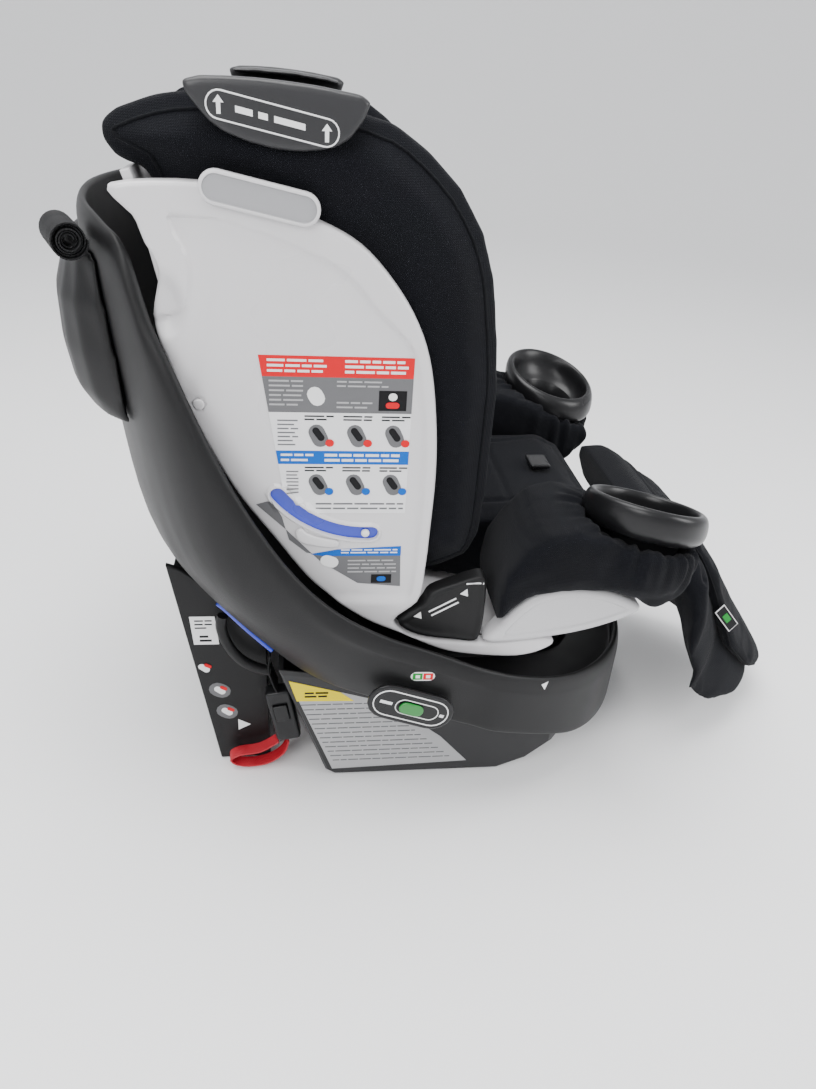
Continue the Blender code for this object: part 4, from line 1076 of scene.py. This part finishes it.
turn = np.arctan2(co[:, 1] - CUP_Y, co[:, 0] + CUP_X)
reach = np.hypot(co[:, 0] + CUP_X, co[:, 1] - CUP_Y)
below = CUP_Z - CUP_LEAN_IN * (co[:, 0] + CUP_X) + CUP_LEAN_ON * (co[:, 1] - CUP_Y) - 0.016 - co[:, 2]
folds = np.sin(turn * 17 + 1.3 * np.sin(turn * 5) + 25 * below) + 0.5 * np.sin(turn * 31 + 0.7 - 18 * below)
near_rim = ease(reach, 0.041, 0.047) * (1 - ease(reach, 0.066, 0.090)) * (1 - ease(below, 0.022, 0.060))
co += normals * (0.0015 * folds * near_rim)[:, None]
set_points(rest, co)
other_rest = mirrored(rest, "armrest_left_padded")
dressed(rest, "armrest_right")
dressed(other_rest, "armrest_left")
print("cushions done")

# %% [markdown]
# ### Calf flap
# A pad hangs over the front edge. It is a broad panel with a round-ended tongue sewn on top, edged with
# piping, and a small woven tag, here left blank, is caught in its side seam.

# %% Calf flap and its tongue
def pad_loft(name, line, material, across):
    """A soft slab along a line of (y, z, half width, thickness), with rounded sides."""
    sections = []
    for i, (y, z, half, thick) in enumerate(line):
        a, b = line[max(i - 1, 0)], line[min(i + 1, len(line) - 1)]
        d = Vector((b[0] - a[0], b[1] - a[1])).normalized()
        up = Vector((-d.y, d.x)) if d.x > 0 else Vector((d.y, -d.x))
        ring = []
        for k in range(across):
            t = 2 * math.pi * k / across
            c, s = math.cos(t), math.sin(t)
            rise = thick / 2 * math.copysign(abs(s) ** 0.6, s)
            ring.append((half * math.copysign(abs(c) ** 0.4, c), y + up.x * rise, z + up.y * rise))
        sections.append(ring)
    faces = [tuple(range(across)), tuple((len(line) - 1) * across + k for k in range(across))[::-1]]
    for i in range(len(line) - 1):
        faces += [(i * across + k, i * across + (k + 1) % across, (i + 1) * across + (k + 1) % across,
                   (i + 1) * across + k) for k in range(across)]
    points = [p for ring in sections for p in ring]
    return facing_out(add_object(name, mesh_from(name, points, faces), material))


flap = foam("calf_flap", 0.0055, 3, 0.002)
co = points_of(flap)
hang = ease(-co[:, 2], -0.200, -0.130)
co[:, 1] -= 0.005 * np.sin(co[:, 2] * 66 + 0.8) * ease(np.abs(co[:, 0]), 0.10, 0.145) * hang
set_points(flap, co)
swollen(flap, 0.004)
subdivided(flap)
flap_skin = surface_of(flap)
for (y, z), half in (((-0.3300, 0.270), 101), ((-0.3660, 0.232), 130)):
    line = on_skin(flap_skin, [(x / 1000, y, z) for x in range(-half, half + 1, 6)], 0.0)
    pressed_seam(flap, line, 0.004, 0.005)
dressed(flap, "calf_flap")

tongue_line = [(-0.333, 0.266, 0.060, 0.010), (-0.358, 0.240, 0.082, 0.020), (-0.390, 0.199, 0.092, 0.024),
               (-0.424, 0.155, 0.096, 0.025), (-0.458, 0.111, 0.094, 0.025), (-0.488, 0.074, 0.084, 0.023),
               (-0.506, 0.053, 0.060, 0.018), (-0.516, 0.041, 0.028, 0.010)]
TONGUE_BOW = 0.060
tongue = pad_loft("calf_tongue", tongue_line, knit_black, 24)


def tongue_bow(x, z):
    """How far the tongue wraps back at its sides, like the flap below it."""
    return TONGUE_BOW * min(max((0.220 - z) / 0.110, 0.0), 1.0) * (x / 0.150) ** 2


def bowed(x, y, z):
    back_by = tongue_bow(x, z)
    return (x, y + back_by, z - 0.25 * back_by)


set_points(tongue, [bowed(x, y, z) for x, y, z in points_of(tongue)])
remeshed(tongue, 0.0050)
relaxed(tongue, 3)
swollen(tongue, 0.003)
subdivided(tongue)
smooth_shading(tongue, 180.0)
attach(tongue, "seat")
tongue_skin = surface_of(tongue)
edge_rows = smooth_points(tongue_line, 3, closed=False)
for side, sign in SIDES:
    edge = [(half + 0.004, y, z) for y, z, half, thick in edge_rows]
    path = on_skin(tongue_skin, [bowed(sign * x, y, z) for x, y, z in edge], 0.0004)
    tube(f"tongue_piping_{side}", path, 0.0013, knit_plain, "seat")

# %% The blank woven tag
tag_at = [(-0.096, -0.401, 0.166), (-0.096, -0.425, 0.139)]
down = (Vector(tag_at[1]) - Vector(tag_at[0])).normalized()
out_way = Vector((-1.0, -0.1, 0.25)).normalized()
wide = down.cross(out_way).normalized()


def tag_patch(name, start, length, half, lift, thick, material):
    base = Vector(tag_at[0]) + down * start + out_way * lift
    corners = [base - wide * half, base + wide * half, base + down * length + wide * half,
               base + down * length - wide * half]
    v = corners + [c + out_way * thick for c in corners]
    f = [(0, 1, 2, 3), (7, 6, 5, 4), (0, 4, 5, 1), (1, 5, 6, 2), (2, 6, 7, 3), (3, 7, 4, 0)]
    obj = facing_out(add_object(name, mesh_from(name, v, f), material))
    bevel = obj.modifiers.new("edge", "BEVEL")
    bevel.width = thick * 0.3
    bevel.segments = 2
    applied(obj)
    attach(obj, "seat")
    return obj


tag_patch("flap_tag_border", 0.0, 0.036, 0.0070, 0.0015, 0.0008, papers["paper_mark"])
tag_patch("flap_tag_face", 0.0012, 0.0336, 0.0060, 0.0024, 0.0005, papers["paper_ink"])
tag_patch("flap_tag_mark", 0.0110, 0.0120, 0.0035, 0.0030, 0.0004, papers["paper_green"])
print("flap done")

# %% [markdown]
# ## The light shell
# Each side panel is one smooth plate with a raised band round its front and top, a shallow field inside
# for the labels, a finger scoop at the rear and a curved slot for the recline level. All of that is one
# relief: a flat net of points inside the outline, each pushed in by a rule.

# %% The two side panels
BAND_NARROW, BAND_WIDE, BAND_STEP = 0.0085, 0.0205, 0.0030
SLOT_HALF, SLOT_EDGE, LIP_OUT = 0.0056, 0.0068, 0.0100
SLOT_START, SLOT_END = -3, 53                 # degrees, the ball's whole travel
LEVEL_CENTRE, LEVEL_RADIUS = (0.0097, 0.4166), 0.092


def on_level_arc(degrees, reach=0.0):
    t = math.radians(degrees)
    return (LEVEL_CENTRE[0] + (LEVEL_RADIUS + reach) * math.sin(t),
            LEVEL_CENTRE[1] - (LEVEL_RADIUS + reach) * math.cos(t))


def slot_ring(reach, step=0.8):
    """The outline of the level slot, which has round ends, at one distance from its middle line."""
    ring = [on_level_arc(a, reach) for a in np.arange(SLOT_START, SLOT_END + step / 2, step)]
    for end, first_turn, back in ((SLOT_END, 0, True), (SLOT_START, 180, False)):
        (y, z), t = on_level_arc(end), math.radians(end)
        for k in range(1, 12):
            u = math.radians(first_turn + 15 * k)
            ring.append((y + reach * (math.sin(t) * math.cos(u) + math.cos(t) * math.sin(u)),
                         z + reach * (math.sin(t) * math.sin(u) - math.cos(t) * math.cos(u))))
        if back:
            ring += [on_level_arc(a, -reach) for a in np.arange(SLOT_END, SLOT_START - step / 2, -step)]
    return ring


level_arc = [on_level_arc(a) for a in np.arange(SLOT_START, SLOT_END + 0.1, 2)]
slot_points = [p for reach in (SLOT_HALF, SLOT_EDGE, 0.0082, LIP_OUT) for p in slot_ring(reach)]
SCOOP, SCREW = (0.1630, 0.5140), (0.1415, 0.4385)
CREASE = [(0.150, 0.580), (0.128, 0.535), (0.140, 0.480), (0.150, 0.446)]
PLATE_BACK = 0.1875                           # where the shell's plates meet the seat shell
panel_ring = resampled(smooth_points(plate_ring("side_panel_right", -0.199), 2), 0.0030)
front_part = np.array([0.22 * (z - 0.24) - 0.335 * (y + 0.03) > -0.004 for y, z in panel_ring])
first = int(np.argmax(front_part & ~np.roll(front_part, 1)))
rolled_ring, rolled_part = panel_ring[first:] + panel_ring[:first], np.roll(front_part, -first)
front_line = [p for p, keep in zip(rolled_ring, rolled_part) if keep]


def panel_face(far, points):
    band = BAND_NARROW + (BAND_WIDE - BAND_NARROW) * ease(points[:, 1], 0.480, 0.520)
    field = ease(edge_distance(points, front_line, closed=False) - band, 0.0, BAND_STEP)
    field = field * ease(points[:, 1], 0.250, 0.262)
    arc = edge_distance(points, level_arc, closed=False)
    x = 0.2002 - rounded(far, 0.0035) - 0.0024 * field * ease(arc, 0.0082, LIP_OUT)
    x -= 0.0052 * (1 - ease(arc, SLOT_HALF, SLOT_EDGE))
    scoop = np.hypot((points[:, 0] - SCOOP[0]) / 0.021, (points[:, 1] - SCOOP[1]) / 0.029)
    x -= 0.0070 * (1 - ease(scoop, 0.30, 1.0))
    screw = np.hypot(points[:, 0] - SCREW[0], points[:, 1] - SCREW[1])
    x -= 0.0016 * (1 - ease(screw, 0.0048, 0.0056))
    crease = edge_distance(points, CREASE, closed=False)
    return x - 0.0011 * np.exp(-(crease / 0.0075) ** 2) * field


panel = relief_plate("side_panel_right_finished", panel_ring, PLATE_BACK, panel_face, panel_white,
                     pitch=0.0021, rings=(0.0005, 0.0012, 0.0022, 0.0034), extra=slot_points)
panels = {"left": panel}
panel.name = "side_panel_left_finished"
panels["right"] = mirrored(panel, "side_panel_right_finished")
for side, sign in SIDES:
    smooth_shading(panels[side], 38.0)
    own(panels[side], f"side_panel_{side}")
panel_skins = {side: surface_of(panels[side]) for side in panels}
print("panels", len(panel.data.polygons))

# %% Screw covers
for side, sign in SIDES:
    disc = relief_plate(f"screw_cover_{side}", circle(SCREW, 0.0044, 28), sign * 0.1945,
                        lambda far, p: sign * (0.1990 - rounded(far, 0.0012)), panel_white, 0.0014,
                        (0.0003, 0.0008))
    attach(disc, "seat")

# %% The belt guides, the front pods and the badges
def plate_outline(node, x, pitch):
    return resampled(smooth_points(plate_ring(node, x), 2), pitch)


def stepped(sign, x, edge, drop, step_from, step_to):
    """A face at x with a rounded edge, and a field sunk by drop inside a step."""
    return lambda far, p: sign * (x - rounded(far, edge) - drop * ease(far, step_from, step_to))


for side, sign in SIDES:
    ring = plate_outline(f"belt_guide_{side}", sign * 0.2018, 0.0025)
    guide = relief_plate(f"belt_guide_{side}_finished", ring, sign * PLATE_BACK,
                         stepped(sign, 0.2030, 0.0028, 0.0009, 0.0042, 0.0056), matte_black, 0.0026,
                         (0.0005, 0.0012, 0.0024, 0.0042, 0.0056))
    own(guide, f"belt_guide_{side}")
    ring = plate_outline(f"front_pod_{side}", sign * 0.206, 0.0030)
    pod = relief_plate(f"front_pod_{side}_finished", ring, sign * PLATE_BACK,
                       stepped(sign, 0.2070, 0.0060, 0.0016, 0.0085, 0.0100), shell_white, 0.0032,
                       (0.0005, 0.0014, 0.0028, 0.0048, 0.0070, 0.0085, 0.0100))
    own(pod, f"front_pod_{side}")
    ring = resampled(turned_ring(pill_ring(0.083, 0.023, 14), (0.090, 0.589), 11), 0.0016)
    badge = relief_plate(f"badge_{side}_finished", ring, sign * 0.2005,
                         stepped(sign, 0.2055, 0.0018, 0.0009, 0.0026, 0.0032), [panel_white, badge_grey],
                         0.0024, (0.0004, 0.0010, 0.0018, 0.0026, 0.0032),
                         part=lambda far, middle: 1 if far > 0.0027 else 0)
    own(badge, f"badge_{side}")
    own(carried(f"recline_shoe_{side}", satin_black, 0.0008), f"recline_shoe_{side}")
own(carried("seat_shell", panel_white, 0.0010), "seat_shell")
guide_skins = {side: surface_of(bpy.data.objects[f"belt_guide_{side}_finished"]) for side, sign in SIDES}

# %% The level window, its ball and the ledge in front of it
for side, sign in SIDES:
    window = relief_plate(f"level_window_{side}_finished", slot_ring(SLOT_EDGE, 1.4), sign * 0.1946,
                          lambda far, p: sign * (0.1968 - rounded(far, 0.0006)), signal_blue, 0.0022,
                          (0.0003, 0.0009))
    own(window, f"level_window_{side}")
    place = np.array([tuple(v.co) for v in nodes[f"level_ball_{side}"].data.vertices])
    middle, reach = (place.max(0) + place.min(0)) / 2, (place.max(0) - place.min(0))[2] / 2
    dome = lambda far, p: sign * (0.1992 + np.sqrt(np.maximum(reach ** 2 - (reach - far) ** 2, 0)) * 0.55)
    ball = relief_plate(f"level_ball_{side}_finished", circle(middle[1:], reach, 40), sign * 0.1975, dome,
                        papers["paper_mark"], 0.0006, (0.0003, 0.0007, 0.0012))
    own(ball, f"level_ball_{side}")
    tab = [(0.0690, 0.3255), (0.0655, 0.3165), (0.0500, 0.3120), (0.0345, 0.3110), (0.0330, 0.3170),
           (0.0470, 0.3205), (0.0590, 0.3250), (0.0640, 0.3300)]
    tab = resampled(smooth_points(tab, 4), 0.0016)
    ledge = relief_plate(f"level_ledge_{side}", tab, sign * 0.1930,
                         lambda far, p: sign * (0.2009 - rounded(far, 0.0016)), panel_white, 0.0018,
                         (0.0004, 0.0010, 0.0018))
    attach(ledge, "seat")

# %% [markdown]
# ### Handles and cup holders
# The lift handles and the cups are satin mouldings. The cups are turned shapes that lean in towards the
# child, with a thick rolled rim.

# %% Lift handles
HANDLE_Y, HANDLE_Z, HANDLE_SLOPE = 0.080, 0.6375, 0.1875
for side, sign in SIDES:
    body = nodes[f"rotate_handle_{side}"]["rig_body"]
    handle = moulded(f"rotate_handle_{side}", handle_grey, 0.0016, 9)
    own(handle, f"rotate_handle_{side}")
    skin = surface_of(handle)
    outline = turned_ring(pill_ring(0.086, 0.0165, 10), (HANDLE_Y, HANDLE_Z), 10.6)
    painted_line(f"handle_outline_{side}", skin, sign, outline, 0.002, 0.00055, body)
    arrow = [(0, 0.0056), (0.0034, 0.0012), (0.0013, 0.0012), (0.0013, -0.0054), (-0.0013, -0.0054),
             (-0.0013, 0.0012), (-0.0034, 0.0012)]
    patches = [(turned_ring(arrow, (HANDLE_Y + y, HANDLE_Z + y * HANDLE_SLOPE), 0), "paper_mark", 0)
               for y in (-0.0345, 0.0345)]
    for middle, length in ((0.0985, 0.011), (0.0865, 0.006), (0.0695, 0.020)):
        ends = [(middle + a * length / 2, b * 0.0019) for a, b in ((-1, -1), (1, -1), (1, 1), (-1, 1))]
        patches.append(([(y, HANDLE_Z + (y - HANDLE_Y) * HANDLE_SLOPE + rise) for y, rise in ends],
                        "paper_mark", 0))
    laid_label(f"handle_marks_{side}", skin, sign, patches, body, 0.003)

# %% Cup holders
cup_rim = smooth_points([(CUP_BODY - 0.0035, -0.0170), (CUP_BODY + 0.0020, -0.0115),
                         (CUP_BODY + 0.0065, -0.0030), (CUP_BODY + 0.0090, 0.0075),
                         (CUP_RIM - 0.0075, 0.0131), (CUP_RIM - 0.0025, 0.0105),
                         (CUP_RIM, 0.0030), (CUP_RIM, -0.0080), (CUP_RIM - 0.0030, -0.0150),
                         (CUP_RIM - 0.0090, -0.0190), (CUP_BODY, -0.0203)], 4, closed=False)
cup_profile = ([(0.0, 0.003 - CUP_DEEP), (CUP_BODY - 0.011, 0.003 - CUP_DEEP),
                (CUP_BODY - 0.008, 0.0045 - CUP_DEEP), (CUP_BODY - 0.0068, 0.008 - CUP_DEEP),
                (CUP_BODY - 0.005, -0.035)] + cup_rim +
               [(CUP_BODY - 0.0035, 0.004 - CUP_DEEP), (CUP_BODY - 0.0045, 0.0012 - CUP_DEEP),
                (CUP_BODY - 0.0075, -CUP_DEEP), (0.0, -CUP_DEEP)])
CUP_STEPS = 96
for side, sign in SIDES:
    vertices, faces = [], []
    for r, z in cup_profile:
        for k in range(CUP_STEPS if r > 0 else 1):
            vertices.append(cup_point(sign, r, z, 2 * math.pi * k / CUP_STEPS))
    for k in range(CUP_STEPS):
        after = (k + 1) % CUP_STEPS
        for row in range(len(cup_profile) - 3):
            low, high = 1 + row * CUP_STEPS, 1 + (row + 1) * CUP_STEPS
            faces.append((low + k, low + after, high + after, high + k))
        last = 1 + (len(cup_profile) - 3) * CUP_STEPS
        faces += [(0, 1 + after, 1 + k), (last + k, last + after, len(vertices) - 1)]
    cup = mesh_from(f"cup_{side}", vertices, faces)
    cup = facing_out(add_object(f"cup_holder_{side}_finished", cup, satin_black))
    own(smooth_shading(cup, 60.0), f"cup_holder_{side}")
print("shell done")

# %% [markdown]
# ### Seat lock
# A black pill on the bowl's flank has a sliding lock in a window, with a painted outline round it.

# %% Seat lock
bezel = moulded("seat_lock_bezel", satin_black, 0.0009, 6)
own(bezel, "seat_lock_bezel")
own(carried("seat_lock_slider", signal_green, 0.0008), "seat_lock_slider")
bezel_skin = surface_of(bezel)
LOCK_AT, LOCK_TILT = (-0.036, 0.158), 20.0
for name, size, along_by, radius in (("lock_outline", (0.074, 0.0290), 0.0, 0.00060),
                                     ("lock_window_frame", (0.0425, 0.0165), -0.006, 0.0005)):
    outline = turned_ring([(a + along_by, b) for a, b in pill_ring(*size, 10)], LOCK_AT, LOCK_TILT)
    painted_line(name, bezel_skin, -1, outline, 0.0025, radius, "base")
lock_bars = [(turned_ring(box_ring(a, -0.0016, b, 0.0016), LOCK_AT, LOCK_TILT), "paper_mark", 0)
             for a, b in ((0.0190, 0.0310), (-0.0335, -0.0292))]
laid_label("lock_bars", bezel_skin, -1, lock_bars, "base", 0.004)

# %% [markdown]
# ## Labels, blank of any words
# The real labels carry text and pictures. Here they keep only their place, shape and colours. Faint bars
# stand for the lines of text, and plain blocks for the pictures.

# %% Rows of bars, pills and boxes
BAR_SHORT, BAR_LONGER, BAR_GAP, LAST_GAP = 0.006, 0.010, 0.0016, 0.004
DRAWS = 2147483648


def bars(y0, z0, y1, z1, rows, paper, layer, seed, thick=0.45):
    """Short bars in rows from the rear edge y0 to the front edge y1 (y0 > y1), as patches."""
    out, state = [], seed
    step = (z1 - z0) / rows
    for row in range(rows):
        y = y0
        base = z0 + step * (row + 0.5 - thick / 2)
        while y > y1 + LAST_GAP:
            state = (state * 1103515245 + 12345) % DRAWS
            length = min(BAR_SHORT + BAR_LONGER * (state / DRAWS), y - y1)
            out.append((box_ring(y - length, base, y, base + step * thick), paper, layer))
            y -= length + BAR_GAP
    return out


def pill(y, z, length, width, degrees, paper, layer, steps=6):
    return (turned_ring(pill_ring(length, width, steps), (y, z), degrees), paper, layer)


def slanted(y, z):
    """The main label's rear edge, which leans forward as it goes down."""
    return min(y, 0.0955 - (0.479 - z) * 0.148)


def band_of(top, bottom, paper):
    ring = [(slanted(0.1, bottom), bottom), (-0.0235, bottom), (-0.0235, top), (slanted(0.1, top), top)]
    return (ring, paper, 0)


# %% The main label
main = [band_of(*row) for row in (
    (0.4790, 0.4625, "paper_red"), (0.4625, 0.4335, "paper_grey"), (0.4335, 0.4010, "paper_white"),
    (0.4010, 0.3890, "paper_blue"), (0.3890, 0.3440, "paper_white"))]
for row in ((0.089, 0.4650, 0.044, 0.4775, 3, "paper_mark", 1, 3),
            (0.030, 0.4650, -0.019, 0.4775, 3, "paper_mark", 1, 8, 0.5),
            (0.088, 0.4380, 0.062, 0.4610, 6, "paper_pale", 1, 5, 0.35),
            (0.036, 0.4540, -0.004, 0.4610, 2, "paper_pale", 1, 6, 0.35),
            (0.036, 0.4365, 0.008, 0.4440, 2, "paper_pale", 1, 11, 0.35)):
    main += bars(*row)
main += [(box_ring(-0.019, 0.4360, 0.003, 0.4525), "paper_ink", 1),
         pill(0.052, 0.447, 0.016, 0.012, 60, "paper_mark", 1),
         pill(-0.008, 0.4475, 0.0070, 0.0062, 0, "paper_mark", 2),
         pill(-0.008, 0.4405, 0.0110, 0.0050, 0, "paper_red", 2)]
for top, bottom, tint in ((0.4325, 0.4025, "paper_red"), (0.3880, 0.3600, "paper_blue")):
    for y in (0.050, 0.0195, -0.011):
        seed = int(y * 9000) + 500
        main += bars(y + 0.011, top - 0.0060, y - 0.012, top - 0.0005, 2, "paper_ink", 1, seed, 0.42)
        middle = (top + bottom) / 2 - 0.0035
        main += [pill(y, middle, 0.0200, 0.0130, 65, "paper_grey", 1, 8),
                 pill(y, middle + 0.0015, 0.0130, 0.0055, 55, "paper_ink", 2),
                 pill(y - 0.0090, middle - 0.0060, 0.0070, 0.0065, 0, tint, 3)]
    main += bars(slanted(0.0860, bottom) - 0.002, bottom + 0.002, 0.066, top - 0.004, 7, "paper_grey", 1, 21,
                 0.32)
for row in ((0.080, 0.3905, 0.054, 0.3995, 2, "paper_mark", 1, 4, 0.4),
            (0.045, 0.3905, -0.016, 0.3995, 2, "paper_mark", 1, 9, 0.5),
            (0.052, 0.3462, -0.0215, 0.3550, 2, "paper_grey", 1, 13, 0.32)):
    main += bars(*row)
laid_label("main_label", panel_skins["right"], -1, main, "seat", 0.0050)

# %% The lower label, below the level window
lower = [([(0.1010, 0.3520), (0.0880, 0.3560), (0.0800, 0.3400), (0.0745, 0.3180), (0.0600, 0.3050),
           (0.0450, 0.3015), (-0.0220, 0.3015), (-0.0235, 0.2690), (0.0150, 0.2730), (0.0480, 0.2960),
           (0.0760, 0.3270)], "paper_grey", 0),
         ([(0.0560, 0.3035), (0.0450, 0.3015), (-0.0222, 0.3015), (-0.0220, 0.3110), (0.0330, 0.3080)],
          "paper_blue", 1)]
lower += bars(0.030, 0.3035, -0.019, 0.3090, 2, "paper_mark", 2, 4, 0.4)
lower += bars(0.024, 0.2830, -0.019, 0.2985, 4, "paper_pale", 1, 17, 0.3)
lower += [pill(0.0400, 0.2960, 0.0160, 0.0110, 20, "paper_mark", 2, 8),
          (box_ring(-0.0150, 0.2730, 0.0030, 0.2820), "paper_ink", 1),
          pill(-0.006, 0.2775, 0.0080, 0.0050, 0, "paper_blue", 2)]
laid_label("lower_label", panel_skins["right"], -1, lower, "seat", 0.0040)

# %% The tub label
tub_sheet = [(0.0776, 0.1341), (0.0262, 0.1180), (-0.0152, 0.1047), (-0.0547, 0.0754), (-0.0823, 0.0524),
             (-0.1144, 0.0150), (0.0329, 0.0100)]
tub_head = [(0.0776, 0.1341), (0.0262, 0.1180), (0.0117, 0.1058), (0.0700, 0.1075)]
tub = [(tub_sheet, "paper_pale", 0), (tub_head, "paper_yellow", 1)]
tub += bars(0.062, 0.1110, 0.036, 0.1200, 2, "paper_ink", 2, 7, 0.5)
for row in range(13):
    z = 0.1000 - row * 0.0066
    rear = 0.066 - row * 0.0028
    front = -0.0150 if z > 0.096 else -0.0152 - (0.1047 - z) * 1.02
    tub += bars(rear, z, max(front + 0.006, -0.100), z + 0.0040, 1, "paper_grey", 1, 31 + row, 0.30)
laid_label("tub_label", tub_skin, -1, tub, "base", 0.0060)

# %% The stickers on the upright's cheek, and the marks on the belt guide
cheek_skin = surface_of(bpy.data.objects["rear_panel_finished"])
cheek = [([(0.1746, 0.1919), (0.1500, 0.1919), (0.1473, 0.1576), (0.1720, 0.1576)], "paper_mark", 0)]
cheek += bars(0.1700, 0.1760, 0.1530, 0.1890, 3, "paper_ink", 1, 3, 0.35)
cheek += bars(0.1660, 0.1600, 0.1540, 0.1700, 2, "paper_ink", 1, 5, 0.5)
for y, z in ((0.1642, 0.1271), (0.1500, 0.0970), (0.1440, 0.0674)):
    cheek += [pill(y, z, 0.0230, 0.0180, 30, "paper_grey", 0), pill(y, z, 0.0130, 0.0070, 40, "paper_mark", 1),
              pill(y - 0.004, z + 0.003, 0.0080, 0.0040, 30, "paper_red", 2)]
cheek += [([(0.1330, 0.0560), (0.1200, 0.0483), (0.1330, 0.0410)], "paper_mark", 0)]
laid_label("cheek_stickers", cheek_skin, -1, cheek, "base", 0.0060)

for side, sign in SIDES:
    arrow = [(0.0, 0.0042), (0.0040, -0.0030), (-0.0040, -0.0030)]
    marks = [(turned_ring(arrow, (-0.0420, 0.2400), 20), "paper_mark", 0),
             (turned_ring(arrow, (-0.0830, 0.2640), 20), "paper_mark", 0)]
    marks += [(turned_ring(box_ring(-0.0140, b, 0.0140, b + 0.0016), (-0.0640, 0.2490), -31), "paper_mark", 0)
              for b in (-0.0040, 0.0010)]
    marks += [(turned_ring(box_ring(-0.0080, -0.0008, 0.0080, 0.0008), (-0.0910, 0.2740), 0), "paper_mark", 0)]
    laid_label(f"belt_marks_{side}", guide_skins[side], sign, marks, "seat", 0.0030)

# %% The lock's colour pill and the small triangle on the bowl's deck
status = [pill(-0.0459, 0.1897, 0.0225, 0.0110, 0, "paper_mark", 0, 8),
          (box_ring(-0.0455, 0.1857, -0.0365, 0.1937), "paper_green", 1),
          (box_ring(-0.0553, 0.1857, -0.0463, 0.1937), "paper_red", 1),
          (box_ring(-0.0432, 0.1878, -0.0392, 0.1916), "paper_mark", 2),
          (box_ring(-0.0528, 0.1878, -0.0488, 0.1916), "paper_mark", 2)]
laid_label("lock_status", bowl_skin, -1, status, "turntable", 0.003)
deck = [([(-0.1675, 0.1595), (-0.1755, 0.1595), (-0.1715, 0.1525)], "paper_mark", 0)]
laid_label("deck_mark", bowl_skin, -1, deck, "turntable", 0.003)
strip = [(0.1420, 0.2300), (0.1340, 0.2215), (0.1153, 0.1984), (0.0933, 0.1737)]
for side, sign in SIDES:
    path = [(sign * 0.1650, y, z) for y, z in smooth_points(strip, 5, closed=False)]
    tube(f"belt_path_strip_{side}", path, 0.0026, signal_blue, "base")
